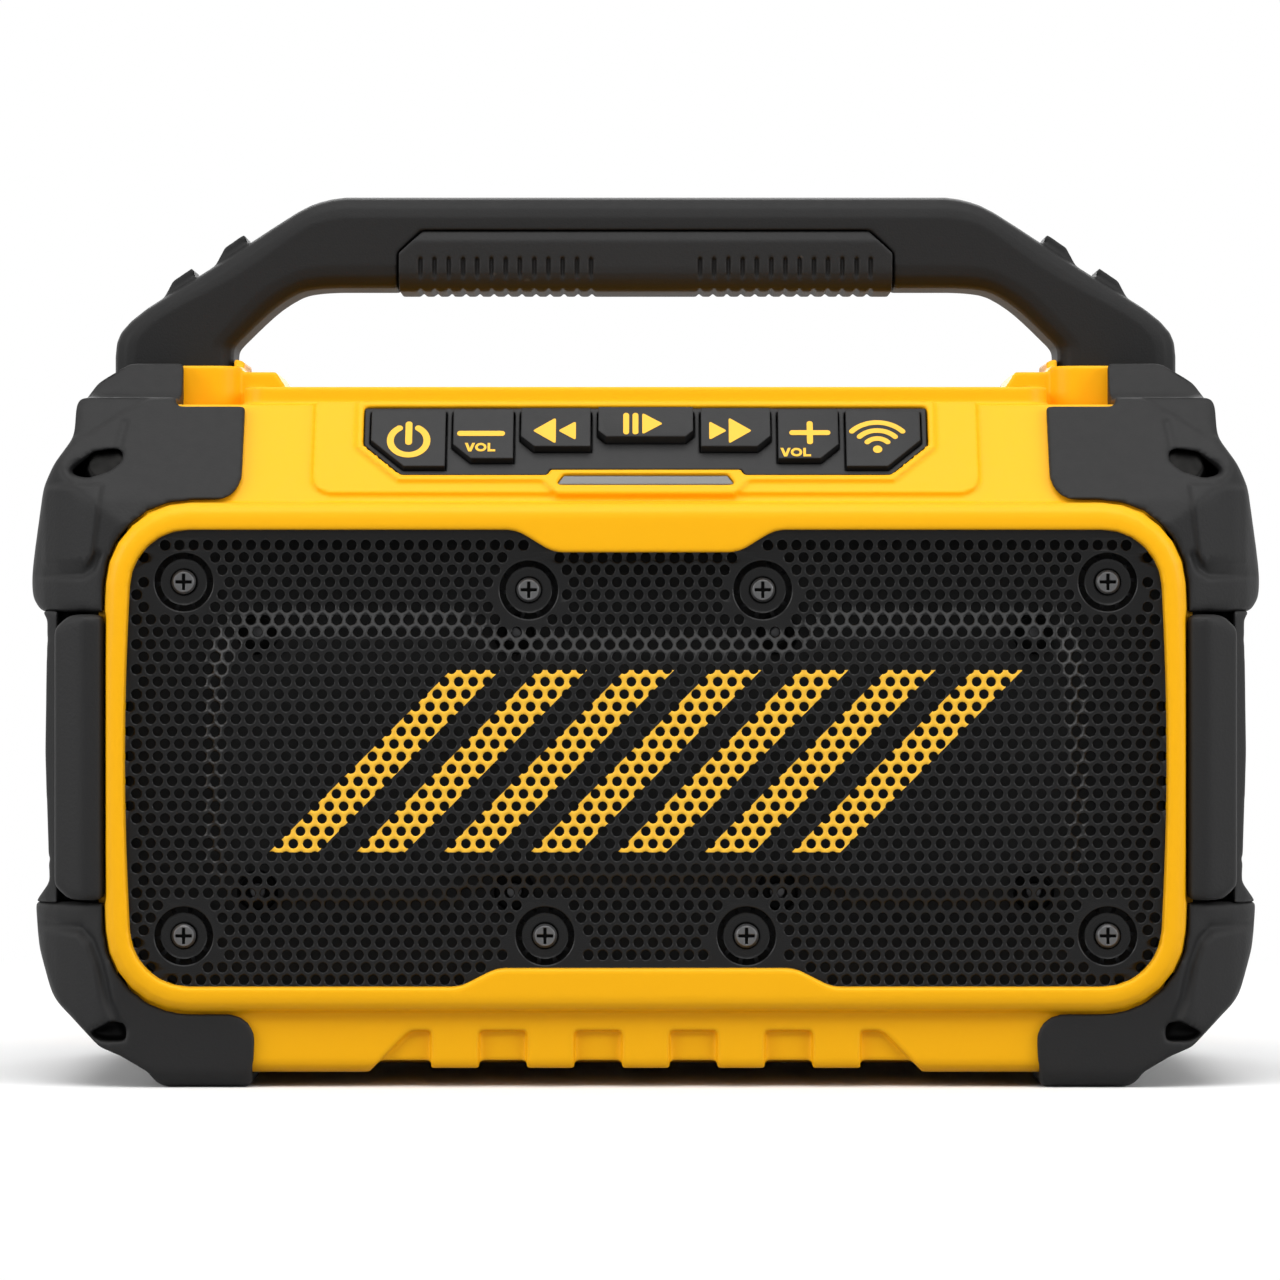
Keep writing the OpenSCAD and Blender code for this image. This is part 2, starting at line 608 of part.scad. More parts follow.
// Where a hole lies: 1 on the raised field, 0 on its slope, -1 on the flange round it.
function perf_zone(x, z) = let (edge = perf_d / 2 + 1, dip = abs(x) < 43 ? 4.2 : 0)
  abs(x) < field_head[0] / 2 - bow - edge && z > field_head[1] + dip + edge
    && z < field_head[2] - dip - edge ? 1
  : abs(x) < field_foot[0] / 2 + edge && z > field_foot[1] - edge && z < field_foot[2] + edge ? 0 : -1;
module perforations(on_field) for (j = [-perf_rows : perf_rows], i = [-perf_cols : perf_cols]) {
  x = (i + (abs(j) % 2) / 2) * perf_pitch;
  z = perf_mid + j * perf_row;
  if (perf_clear(x, z) && perf_zone(x, z) == (on_field ? 1 : -1))
    translate([x, z]) circle(d = perf_d, $fn = 16);
}

// Black acoustic cloth on the face of the baffle, cut out round the bosses.
cloth_t = 0.4;
module grille_cloth() color(black) difference() {
  along_y(baffle_y - cloth_t, baffle_y) polygon(opening_outline(-seat));
  for (p = grille_screw_spots) mirrored() rod_y(p[0], p[1], boss_y, baffle_y + 1, boss_r + seat);
  for (x = driver_spots, a = [45 : 90 : 315]) rod_y(x + driver_screw_r * cos(a),
    driver_z + driver_screw_r * sin(a), boss_y, baffle_y + 1, boss_r + seat);
}
module grille_screws() color(black) for (p = grille_screw_spots)
  mirrored() screw_y(p[0], flange_y + dish_depth, p[1], 1, screw_r, head_r, 2, 9);

// Drivers: sections are drawn with radius across and depth behind the flange's front face.
driver_r = driver_d / 2;
driver_gasket_t = 1;
driver_y = baffle_back + driver_gasket_t;
module turned(x, section, steps = 48) translate([x, driver_y, driver_z]) rotate([-90, 0, 0])
  rotate_extrude($fn = steps) polygon(section);
module each_driver(section) for (x = driver_spots) turned(x, section);
frame_in = driver_r - 5.9;
cone_out = frame_in - 4.1;
neck_r = 10.3;
function frame_section() = [[driver_r, 0], [driver_r, 1.2], [driver_r - 4.5, 1.2], [driver_r - 4.7, 3],
  [driver_r - 6.3, 8.4], [24, 20.2], [14, 20.2], [14, 19], [23.3, 19], [25, 16.9], [23.6, 16.9], [23.6, 15.9],
  [25.8, 15.9], [driver_r - 7.5, 8], [frame_in, 3], [frame_in, 0]];
module driver_frames() color(steel) for (x = driver_spots) difference() {
  turned(x, frame_section());
  for (a = [45 : 90 : 315]) {
    rod_y(x + driver_screw_r * cos(a), driver_z + driver_screw_r * sin(a), driver_y - 1, driver_y + 2,
      screw_r + screw_gap);
    translate([x, driver_y, driver_z]) rotate([0, a + 45, 0]) box([22, 9, -9], [40, 14.5, 9]);
  }
}
plate_y = 20.2;
magnet_y = 24.2;
back_y = 36.2;
module driver_top_plates() color(steel) each_driver([[10.9, plate_y], [26, plate_y], [26, magnet_y],
  [10.9, magnet_y]]);
module driver_magnets() color(black) each_driver([[14, magnet_y], [28, magnet_y], [28, back_y], [14, back_y]]);
module driver_yokes() color(steel) each_driver([[0, plate_y], [9.4, plate_y], [9.4, back_y], [26, back_y],
  [26, back_y + 3], [25, back_y + 4], [0, back_y + 4]]);
function cone_section() = [[neck_r, 11.5], [cone_out, 2.2], [cone_out, 3], [neck_r, 12.4]];
module left_cone() color(paper) turned(-driver_x, cone_section());
module right_cone() color(paper) turned(driver_x, cone_section());
// The dust cap is a thin dome whose rim rests on the cone.
cap_r = 11.4;
cap_rise = 4;
cap_ball = (cap_r * cap_r + cap_rise * cap_rise) / (2 * cap_rise);
cap_rim = 11.5 - (cap_r - neck_r) * 9.3 / (cone_out - neck_r);
function dome(r, top) = [for (k = [0 : 8]) let (x = r * k / 8)
  [x, top + cap_ball - sqrt(cap_ball * cap_ball - x * x)]];
function cap_section() = concat(dome(cap_r, cap_rim - cap_rise), [[cap_r - 0.8, cap_rim]],
  [for (i = [8 : -1 : 0]) dome(cap_r - 1, cap_rim - cap_rise + 0.6)[i]]);
module left_dust_cap() color(black) turned(-driver_x, cap_section());
module right_dust_cap() color(black) turned(driver_x, cap_section());
function coil_section() = [[9.9, 11.2], [neck_r, 11.2], [neck_r, 20.5], [10.6, 20.5], [10.6, 26], [9.9, 26]];
module left_voice_coil() color(copper) turned(-driver_x, coil_section());
module right_voice_coil() color(copper) turned(driver_x, coil_section());
// The surround is a half roll from the cone's edge to the frame.
roll_r = (frame_in - cone_out) / 2;
roll_t = 0.7;
function arc(r, a0, a1) = [for (k = [0 : 12]) let (a = a0 + (a1 - a0) * k / 12)
  [cone_out + roll_r + r * cos(a), 1.9 - r * sin(a)]];
function surround_section() = concat([[frame_in, 2.9]], arc(roll_r, 0, 180),
  [[cone_out, 2.9], [cone_out + roll_t, 2.9]], arc(roll_r - roll_t, 180, 0), [[frame_in - roll_t, 2.9]]);
module left_surround() color(rubber) turned(-driver_x, surround_section());
module right_surround() color(rubber) turned(driver_x, surround_section());
// The spider is a rippled disc from the coil to a ledge in the frame.
spider_y = 15.15;
spider_out = 25.6;
function ripple(r) = spider_y + 0.55 * sin(360 * 3 * max(0, min(1, (r - 11) / 12)));
function spider_section() = let (rs = [for (k = [0 : 36]) neck_r + (spider_out - neck_r) * k / 36])
  concat([for (r = rs) [r, ripple(r) - 0.2]],
    [for (i = [36 : -1 : 0]) [rs[i], rs[i] > 23.4 ? 15.9 : ripple(rs[i]) + 0.2]]);
module left_spider() color(copper) turned(-driver_x, spider_section());
module right_spider() color(copper) turned(driver_x, spider_section());
module gaskets() color(rubber) {
  gasket_ring(0);
  driver_gaskets();
}
module driver_gaskets() for (x = driver_spots) difference() {
  turned(x, [[driver_r - 4.8, -driver_gasket_t], [driver_r, -driver_gasket_t], [driver_r, 0],
    [driver_r - 4.8, 0]]);
  for (a = [45 : 90 : 315]) rod_y(x + driver_screw_r * cos(a), driver_z + driver_screw_r * sin(a),
    driver_y - 2, driver_y + 1, screw_r + screw_gap);
}
module driver_screws() color(steel) for (x = driver_spots, a = [45 : 90 : 315])
  screw_y(x + driver_screw_r * cos(a), driver_y + 1.2,
    driver_z + driver_screw_r * sin(a), -1, screw_r, 1.9, 1.6,
    6);

// The keypad: a plate with an opening for each key, held behind the panel by its flange.
module keypad_base() color(black) on_panel() difference() {
  union() {
    translate([0, 0, flange_back]) linear_extrude(plateau_rise + ridge_rise - flange_back - 0.5)
      pad_face(pad_lip);
    translate([0, 0, flange_back]) linear_extrude(-wall - seat - flange_back) intersection() {
      pad_face(pad_lip + 1.4);
      translate([-far, 0]) square([2 * far, pad_high]);
    }
  }
  translate([0, 0, flange_back - 1]) linear_extrude(pad_back - flange_back + 1) pad_face(0);
  for (k = keys) translate([0, 0, -9]) linear_extrude(18) key_face(k, -key_margin);
}
module pad_face(grow) offset(delta = grow) polygon(flat(pad_outline()));
flange_back = -4.4;
// A key: a cap in its opening, a flange under the plate and a stem over its switch.
module key(k) on_panel() {
  translate([0, 0, key_flange_back]) linear_extrude(plateau_rise + ridge_rise + k[5] - key_flange_back)
    key_face(k, -key_margin - slip);
  translate([0, 0, key_flange_back]) linear_extrude(pad_back - slip - key_flange_back)
    key_face(k, -key_margin + 0.2);
  translate([(k[0] + k[1]) / 2, stem_v, stem_end]) cylinder(r = 1.5, h = 1);
}
stem_v = 18;
module power_key() color(black) key(keys[0]);
module volume_down_key() color(black) key(keys[1]);
module previous_key() color(black) key(keys[2]);
module play_key() color(black) key(keys[3]);
module next_key() color(black) key(keys[4]);
module volume_up_key() color(black) key(keys[5]);
module wireless_key() color(black) key(keys[6]);

module light_pipe() color([0.75, 0.75, 0.75]) on_panel() {
  translate([0, 0, -wall - 1.5]) linear_extrude(wall + 1.5 + plateau_rise + ridge_rise - 0.4)
    polygon(light_outline());
  translate([0, 0, -wall - 1.5]) linear_extrude(1.3)
    translate([-light_half - 1.5, light_low - 1.4]) square([2 * light_half + 3, 2.2]);
  translate([-15, light_low, light_top + slip]) cube([30, 2, -wall - 1 - light_top - slip]);
}
light_top = board_face + 1.2;
module control_board() color(board) on_panel() difference() {
  translate([-board_half, 2.2, board_face - board_t]) cube([2 * board_half, panel_len - 4, board_t]);
  for (p = control_screw_spots)
    translate([p[0], p[1], board_face - 3]) cylinder(r = screw_r + screw_gap, h = 6);
}
module key_switches() color(black) on_panel() for (k = keys)
  translate([(k[0] + k[1]) / 2, stem_v, board_face]) {
    translate([-3, -3, 0]) cube([6, 6, 3.2]);
    cylinder(r = 1.7, h = switch_top - board_face);
  }
module status_lights() color([0.9, 0.9, 0.85]) on_panel() for (i = [-1 : 1])
  translate([i * 9 - 1.5, light_low + 0.2, board_face]) cube([3, 1.6, 1.2]);
module board_screws() color(steel) {
  on_panel() for (p = control_screw_spots)
    translate([p[0], p[1], board_face - board_t]) screw(screw_r, 2.4, 1.6, 6);
  for (p = main_screw_spots) screw_y(p[0], main_y - board_t, p[1], 1, screw_r, 2.4, 1.6, 7);
}

// The main board stands on posts on the front of the battery bay.
main_y = bay_y - bay_wall - 8;
main_half = 46;
main_low = 46;
main_high = 116;
main_screw_spots = [for (x = [-main_half + 5, main_half - 5], z = [main_low + 5, main_high - 5]) [x, z]];
module main_board() color(board) difference() {
  box([-main_half, main_y - board_t, main_low], [main_half, main_y, main_high]);
  for (p = main_screw_spots) rod_y(p[0], p[1], main_y - 3, main_y + 1, screw_r + screw_gap);
}
board_front = main_y - board_t;
module board_capacitors() color(black) for (p = [[-30, 100], [-18, 100], [-6, 100], [30, 62]])
  translate([p[0], board_front, p[1]]) rotate([90, 0, 0]) {
    cylinder(r = 5, h = 12.6);
    cylinder(r = 4.4, h = 13);
  }
module amplifier_heatsink() color(steel) difference() {
  box([-36, board_front - 12, 54], [-2, board_front, 78]);
  for (i = [0 : 4]) box([-33.5 + i * 6, board_front - 13, 53], [-28.5 + i * 6, board_front - 3, 79]);
}
module wireless_module() color(steel) difference() {
  box([14, board_front - 2.6, 84], [36, board_front, 102]);
  box([15, board_front - 3, 99.5], [35, board_front - 0.8, 101]);
}

module battery_bay() color(black) difference() {
  union() {
    difference() {
      union() {
        box([-bay_out, bay_y - bay_wall, bay_floor - bay_wall], [bay_out, rear_y + 1, body_top]);
        box([-bay_out - bay_rim, rear_y + seat, bay_floor - bay_wall - bay_rim],
          [bay_out + bay_rim, rear_y + 1.8, body_top - 14]);
      }
      box([-bay_w / 2, bay_y, bay_floor], [bay_w / 2, far, far]);
    }
    mirrored() along_rail() polygon([[rail_gap / 2, bay_y - 1], [rail_gap / 2, bay_y + 5],
      [rail_gap / 2 - 4, bay_y + 5], [rail_gap / 2 - 4, bay_y + 8], [rail_gap / 2 + 4, bay_y + 8],
      [rail_gap / 2 + 4, bay_y - 1]]);
    box([-rail_gap / 2 - 4, bay_y - 1, rail_low - 4], [rail_gap / 2 + 4, bay_y + 8, rail_low]);
    for (p = main_screw_spots) rod_y(p[0], p[1], main_y, bay_y - bay_wall + 1, 3.4);
  }
  for (p = main_screw_spots) rod_y(p[0], p[1], main_y - 1, main_y + 7, screw_r + screw_gap);
  mirrored() for (p = bay_screw_spots) rod_y(p[0], p[1], rear_y - 1, far, screw_r + screw_gap);
}
module along_rail() translate([0, 0, rail_low - 1]) linear_extrude(rail_high - rail_low + 1) children();
module terminal_block() color(black) difference() {
  box([-block_half, bay_y, rail_low], [block_half, bay_y + 7.5, block_top]);
  for (i = [-2 : 2]) blade(i, 0.1);
}
module blade(i, gap) translate([i * blade_pitch, 0, 0])
  box([-0.4 - gap, bay_y + 1 - gap, block_top - 8], [0.4 + gap, bay_y + 6.5 + gap, block_top + 12]);
module terminal_blades() color(copper) for (i = [-2 : 2]) blade(i, 0);

module port_panel() color(black) difference() {
  along_y(pocket_floor, pocket_floor + 2) polygon(port_outline(-seat));
  rod_y(aux_spot[0], aux_spot[1], pocket_floor - 1, far, aux_sleeve_r + seat);
  rod_y(power_spot[0], power_spot[1], pocket_floor - 1, far, power_sleeve_r + seat);
}
jack_face = pocket_floor - pocket_wall;
module aux_jack() color(black) difference() {
  union() {
    box([aux_spot[0] - 5, jack_back, port_z - 5.5], [aux_spot[0] + 5, jack_face, port_z + 5.5]);
    rod_y(aux_spot[0], aux_spot[1], jack_face - 1, pocket_floor + 3, aux_sleeve_r);
  }
  rod_y(aux_spot[0], aux_spot[1], jack_back + 2, far, aux_d / 2);
}
module power_jack() color(black) {
  difference() {
    union() {
      box([power_spot[0] - 5.5, jack_back, port_z - 5.5], [power_spot[0] + 5.5, jack_face, port_z + 5.5]);
      rod_y(power_spot[0], power_spot[1], jack_face - 1, pocket_floor + 3, power_sleeve_r);
    }
    rod_y(power_spot[0], power_spot[1], jack_back + 4, far, 3.1);
  }
  rod_y(power_spot[0], power_spot[1], jack_back + 3, pocket_floor + 1, 1);
}
module port_board() color(board)
  box([port_x - 14, jack_back - board_t, port_z - 9], [port_x + 14, jack_back, port_z + 9]);

// The flap lies on the rear wall with a rim in the pocket, and turns on its edge beside the tether.
flap_right = port_x + port_w / 2 + flap_lap;
flap_low = port_z - port_h / 2 - flap_lap;
flap_high = port_z + port_h / 2 + flap_lap;
module port_flap() color(rubber) union() {
  along_y(rear_y + slip, rear_y + slip + flap_t) polygon(rounded([[flap_axis[0] + slip, flap_low, 1.5],
    [flap_right, flap_low, 5], [flap_right, flap_high, 5], [flap_axis[0] + slip, flap_high, 1.5]]));
  along_y(rear_y - 3, rear_y + slip + 1) difference() {
    polygon(port_outline(-1.2));
    offset(delta = -1.6) polygon(port_outline(-1.2));
  }
  along_y(rear_y + slip, rear_y + slip + flap_t - 0.6)
    polygon(rounded([[flap_right - 1, port_z - 5, 0], [flap_right + 4, port_z - 4, 2],
      [flap_right + 4, port_z + 4, 2], [flap_right - 1, port_z + 5, 0]]));
}
module flap_tether() color(rubber) {
  along_y(rear_y, rear_y + slip + flap_t - 1.5) polygon(rounded([[flap_axis[0] - 3, port_z - 8, 1],
    [flap_axis[0] - slip, port_z - 8, 0], [flap_axis[0] - slip, port_z + 8, 0],
    [flap_axis[0] - 3, port_z + 8, 1]]));
}

// The handle is a rounded section carried along stations,
// each an outer and an inner point seen from the front.
leg_out = handle_w / 2;
bar_low = handle_top - handle_t;
handle_half = [[[leg_out, leg_floor], [leg_in, leg_floor]], [[leg_out, 151], [leg_in, 151]],
  [[leg_out - 1.2, 156], [leg_in - 0.4, 153]], [[leg_out - 6.6, 161], [leg_in - 2.5, 155.2]],
  [[leg_out - 17, handle_top - 17], [leg_in - 6, 158.6]],
  [[leg_out - 28, handle_top - 9.9], [leg_in - 9.5, bar_low - 3.7]],
  [[leg_out - 38.5, handle_top - 3.1], [leg_in - 13.8, bar_low - 1.1]],
  [[leg_out - 43.5, handle_top - 0.9], [leg_in - 17.3, bar_low - 0.3]],
  [[leg_out - 48.5, handle_top], [leg_in - 22, bar_low]]];
handle_last = len(handle_half) - 1;
// a station beyond the last, along the bar, so that the arm's curve runs out level
handle_run = concat(handle_half,
  [[handle_half[handle_last][0] - [6, 0], handle_half[handle_last][1] - [6, 0]]]);
function midway(i) = [for (k = [0, 1]) (9 * (handle_run[i][k] + handle_run[i + 1][k])
  - handle_run[i - 1][k] - handle_run[i + 2][k]) / 16];
handle_arm = [for (i = [0 : handle_last])
  each i == 0 || i == handle_last ? [handle_half[i]] : [handle_half[i], midway(i)]];
handle_stations = concat(handle_arm, [for (i = [len(handle_arm) - 1 : -1 : 0])
  [[-handle_arm[i][0][0], handle_arm[i][0][1]], [-handle_arm[i][1][0], handle_arm[i][1][1]]]]);
handle_round = 4.5;
// One ring: the section's corners are rounded across the bar (outer to inner) and its depth.
function handle_ring(s) = let (t = norm(s[0] - s[1]), out = unit(s[0] - s[1]),
  outline = rounded([[0, -handle_d / 2, handle_round], [t, -handle_d / 2, handle_round],
    [t, handle_d / 2, handle_round], [0, handle_d / 2, handle_round]], 3))
  [for (p = outline) [s[1][0] + out[0] * p[0], p[1], s[1][1] + out[1] * p[0]]];
module handle_sweep() {
  rings = [for (s = handle_stations) handle_ring(s)];
  n = len(rings[0]);
  m = len(rings);
  polyhedron([for (r = rings) each r], concat(
    [[for (i = [0 : n - 1]) i]], [[for (i = [n - 1 : -1 : 0]) (m - 1) * n + i]],
    [for (k = [0 : m - 2], i = [0 : n - 1]) let (j = (i + 1) % n)
      each [[k * n + j, k * n + i, (k + 1) * n + i], [k * n + j, (k + 1) * n + i, (k + 1) * n + j]]]));
}
grip_half = grip_len / 2;
grip_top = handle_top - 7.4;
// the grip seen from the front, its upper corners cut
function grip_face() = both_sides([[grip_half, bar_low - 5, 0], [grip_half, grip_top - 4.6, 0],
  [grip_half - 5, grip_top, 0]]);
core_half = handle_d / 2 - 2.6;
module handle() color(black) difference() {
  union() {
    handle_sweep();
    mirrored() cleats();
  }
  difference() {
    along_y(-far, far) offset(delta = slip) polygon(flat(grip_face()));
    box([-far, -core_half, bar_low + 2.6], [far, core_half, far]);
  }
  mirrored() for (p = leg_bolt_spots) translate([p, 0, leg_floor - 1]) cylinder(r = 2.6, h = 12);
}
// Teeth along the outside of each arm that a cord can hook behind.
module cleats() for (x = [leg_out - 13.5, leg_out - 24.5]) {
  z = handle_top - 3.1 - (x - leg_out + 38.5) * 0.645;
  along_y(-9, 9) polygon([[x + 5, z - 5.2], [x + 1.5, z + 1.6], [x - 2.6, z + 4.4], [x - 3.2, z + 3.6],
    [x - 2.4, z + 0.4], [x - 2.4, z - 2]]);
}
rib_pitch = 3;
module handle_grip() color(rubber) difference() {
  intersection() {
    along_x(-far, far) polygon(rounded([[-handle_d / 2 - 0.6, bar_low - 0.8, 5],
      [handle_d / 2 + 0.6, bar_low - 0.8, 5], [handle_d / 2 + 0.6, grip_top - 2, 1.5],
      [handle_d / 2 - 0.4, grip_top, 0], [-handle_d / 2 + 0.4, grip_top, 0],
      [-handle_d / 2 - 0.6, grip_top - 2, 1.5]]));
    along_y(-far, far) polygon(flat(grip_face()));
  }
  box([-far, -core_half, bar_low + 2.6], [far, core_half, far]);
  mirrored() for (i = [0 : floor((grip_half - 14) / rib_pitch)]) translate([11 + i * rib_pitch, 0, 0]) {
    box([0, -far, bar_low - 2], [0.9, -handle_d / 2 + 0.3, bar_low + 6.4]);
    box([0, handle_d / 2 - 0.3, bar_low - 2], [0.9, far, bar_low + 6.4]);
    box([0, -far, bar_low - 2], [0.9, far, bar_low - 0.1]);
  }
}
module handle_bolts() color(steel) mirrored() for (p = leg_bolt_spots)
  translate([p, 0, body_top - wall]) {
    cylinder(r = 2.5, h = leg_floor - body_top + wall + 10);
    translate([0, 0, -3.6]) difference() {
      cylinder(r = 4, h = 3.6);
      translate([0, 0, -1]) cylinder(r = 2, h = 3, $fn = 6);
    }
  }

// Rubber corners: the outer form less the housing, the bezel and the sockets.
module upper_bumper() color(rubber) difference() {
  intersection() {
    rubber_form();
    along_y(-far, far) polygon(rounded([[bumper_in, far, 0], [bumper_in, panel_high - 1, 0],
      [bumper_in, bezel_high + seam, corner_r], [bumper_in + 9, bezel_high + seam, 0],
      [bumper_in + 9, upper_seam, 0], [far, upper_seam, 0], [far, far, 0]]));
  }
  bumper_cuts();
  box([-far, -far, body_top - 0.4], [post_in, far, far]);
  box([leg_in - 1, -handle_d / 2 - 0.6, body_top], [handle_w / 2 + 0.6, handle_d / 2 + 0.6, far]);
  // a strap notch under the shoulder, and the grooves round the side lobe
  translate([lobe, 0, 0]) {
    intersection() {
      along_y(-far, far) polygon([[-19.6, 129.8], [-14.4, 129.6], [-8.6, 126.4], [-13.4, 125.6],
        [-17.6, 126]]);
      along_x(-far, far) polygon([[-far, panel_low], [panel_foot_y - 0.5, panel_low],
        [panel_top_y - 0.5, panel_high], [-far, panel_high]]);
    }
    along_y(-far, rubber_front + 1) polygon([[-15.9, 125.5], [-14.7, 125.5], [-13.1, 109], [-10.5, 105.8],
      [far, 106.2], [far, 105.2], [-11.1, 104.8], [-14.3, 108.6]]);
  }
}
module bumper_cuts() {
  housing_form();
  along_y(-far, front_y + 8) polygon(bezel_outline(seam));
  mirror([1, 0, 0]) handle_sockets();
  handle_sockets();
}
module lower_bumper() color(rubber) difference() {
  intersection() {
    rubber_form();
    along_y(-far, far) polygon(rounded([[bumper_in - 2, -1, 0], [far, -1, 0], [far, lower_seam, 0],
      [bumper_in + 9, lower_seam, 0], [bumper_in + 9, bezel_low - seam, 0],
      [bumper_in - 3.4, bezel_low - seam, corner_r]]));
  }
  bumper_cuts();
  box([-far, -34, -1], [far, 34, 2.8]);
  translate([lobe, 0, 0]) {
    along_y(rubber_front - 1, rubber_front + 9) polygon([[-20.9, 13], [-17.9, 13.6], [-12.8, 10.8],
      [-16, 9.4], [-20.9, 9.4]]);
    along_y(-far, rubber_front + 1) polygon([[far, 34], [-11.1, 32.2], [-14.1, 30], [-15.9, 25],
      [-18.3, 14.5], [-17.1, 14], [-14.7, 24.6], [-13.1, 28.8], [-10.7, 31.1], [far, 33]]);
  }
}
module right_upper_bumper() upper_bumper();
module left_upper_bumper() mirror([1, 0, 0]) upper_bumper();
module right_lower_bumper() lower_bumper();
module left_lower_bumper() mirror([1, 0, 0]) lower_bumper();

module side_panel() color(rubber) difference() {
  intersection() {
    rubber_form();
    box([bezel_w / 2 + seam, -far, lower_seam + panel_seam], [far, far, upper_seam - panel_seam]);
  }
  bumper_cuts();
  translate([0, 0, -1]) linear_extrude(far) offset(delta = seam) polygon(pad_plan());
  mirror([0, 1, 0]) translate([0, 0, -1]) linear_extrude(far) offset(delta = seam) polygon(pad_plan());
  for (z = [46.6, 90.6]) box([lobe - 5, -far, z - 0.5], [far, far, z + 0.5]);
}
module right_side_panel() side_panel();
module left_side_panel() mirror([1, 0, 0]) side_panel();

// Upright pads along the four edges, proud of the panels beside them.
edge_x = bezel_w / 2 - pad_bite + seam;
function pad_plan() = rounded([[edge_x, front_y + 12, 0], [edge_x, rubber_front - 0.4, 1],
  [edge_x + 4, rubber_front - 1.1, 2], [edge_x + 9.4, rubber_front + 2.4, 2],
  [edge_x + 9.4, front_y + 12, 0]]);
module edge_pads() color(rubber) for (s = [0, 1], t = [0, 1])
  mirror([s, 0, 0]) mirror([0, t, 0]) difference() {
    intersection() {
      translate([0, 0, lower_seam + seam]) linear_extrude(upper_seam - lower_seam - 2 * seam)
        polygon(pad_plan());
      along_y(-far, far) polygon(rounded([[edge_x - 1, lower_seam, 0], [edge_x + 6, lower_seam, 3],
        [edge_x + 10, lower_seam + 4, 3], [edge_x + 10, upper_seam - 4, 3], [edge_x + 6, upper_seam, 3],
        [edge_x - 1, upper_seam, 0]]));
    }
    housing_form();
  }

front_housing();
rear_housing();
rear_panel();
handle_mounts();
gaskets();
housing_screws();
speaker_grille();
grille_cloth();
grille_screws();
driver_frames();
driver_top_plates();
driver_magnets();
driver_yokes();
left_cone();
right_cone();
left_dust_cap();
right_dust_cap();
left_voice_coil();
right_voice_coil();
left_surround();
right_surround();
left_spider();
right_spider();
driver_screws();
keypad_base();
power_key();
volume_down_key();
previous_key();
play_key();
next_key();
volume_up_key();
wireless_key();
light_pipe();
control_board();
key_switches();
status_lights();
board_screws();
main_board();
board_capacitors();
amplifier_heatsink();
wireless_module();
battery_bay();
terminal_block();
terminal_blades();
port_panel();
aux_jack();
power_jack();
port_board();
port_flap();
flap_tether();
handle();
handle_grip();
handle_bolts();
left_upper_bumper();
right_upper_bumper();
left_lower_bumper();
right_lower_bumper();
left_side_panel();
right_side_panel();
edge_pads();
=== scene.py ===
"""Dresses the jobsite speaker: moulded shells, rubber guards, perforated grille, keys and studio."""

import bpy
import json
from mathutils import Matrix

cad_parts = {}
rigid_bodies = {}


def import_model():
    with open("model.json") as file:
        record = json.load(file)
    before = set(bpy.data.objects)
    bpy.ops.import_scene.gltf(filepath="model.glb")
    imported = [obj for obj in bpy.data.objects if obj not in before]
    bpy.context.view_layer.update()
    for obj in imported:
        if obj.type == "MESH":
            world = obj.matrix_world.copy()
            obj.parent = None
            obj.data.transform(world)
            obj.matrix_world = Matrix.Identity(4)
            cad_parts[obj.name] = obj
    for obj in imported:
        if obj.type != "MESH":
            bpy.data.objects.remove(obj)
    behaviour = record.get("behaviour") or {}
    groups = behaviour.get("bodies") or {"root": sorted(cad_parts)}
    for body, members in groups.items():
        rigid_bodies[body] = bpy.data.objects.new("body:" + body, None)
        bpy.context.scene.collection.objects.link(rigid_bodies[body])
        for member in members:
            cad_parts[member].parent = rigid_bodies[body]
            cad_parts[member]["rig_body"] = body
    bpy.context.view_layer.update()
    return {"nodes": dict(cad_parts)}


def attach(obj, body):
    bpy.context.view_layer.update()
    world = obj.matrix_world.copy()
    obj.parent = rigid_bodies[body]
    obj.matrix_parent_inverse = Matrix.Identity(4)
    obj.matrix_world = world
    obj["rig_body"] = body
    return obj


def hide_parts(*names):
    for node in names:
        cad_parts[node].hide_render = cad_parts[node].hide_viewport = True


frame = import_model()

import json
import math

import bmesh
import bpy
import numpy as np
from bpy.props import FloatProperty, FloatVectorProperty, IntProperty, PointerProperty
from mathutils import Vector
from mathutils.geometry import tessellate_polygon

bl_info = {
    "name": "Jobsite Speaker Dressing",
    "version": (1, 0, 0),
    "blender": (4, 5, 0),
    "location": "3D View > Sidebar > Speaker",
    "description": "Builds the finished surfaces of a rugged two driver speaker on its packed model",
    "category": "Object",
}

MM = 0.001

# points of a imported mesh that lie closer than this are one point
MERGE = 3e-6

# the sloping control panel: its foot line and the directions up it and out of it
PANEL_FOOT = Vector((0, -60 * MM, 119.5 * MM))
PANEL_UP = Vector((0, 0.6, 0.8))
PANEL_OUT = Vector((0, -0.8, 0.6))

# print on a key: how far it goes into the key's face and stands out of it, in millimetres
PRINT_SUNK = 0.05
PRINT_PROUD = 0.07

# the grille sheet: the faces of its flange and its raised field, and its thickness
FLANGE_Y = -61.5 * MM
FIELD_Y = -64.7 * MM
SHEET = 0.8 * MM

# outlines as frame_outline takes them: the sheet's edge, and the foot and the head of its raised field
SHEET_EDGE = (214.4, 19.9, 114, 12.6, 4.6, 3.8, 18.2, 29.7)
FIELD_FOOT = (182.8, 35.2, 98.1, 8, 4.2, 4, 30, 34)
FIELD_HEAD = (171, 41.5, 91, 8, 4.2, 4, 30, 34)

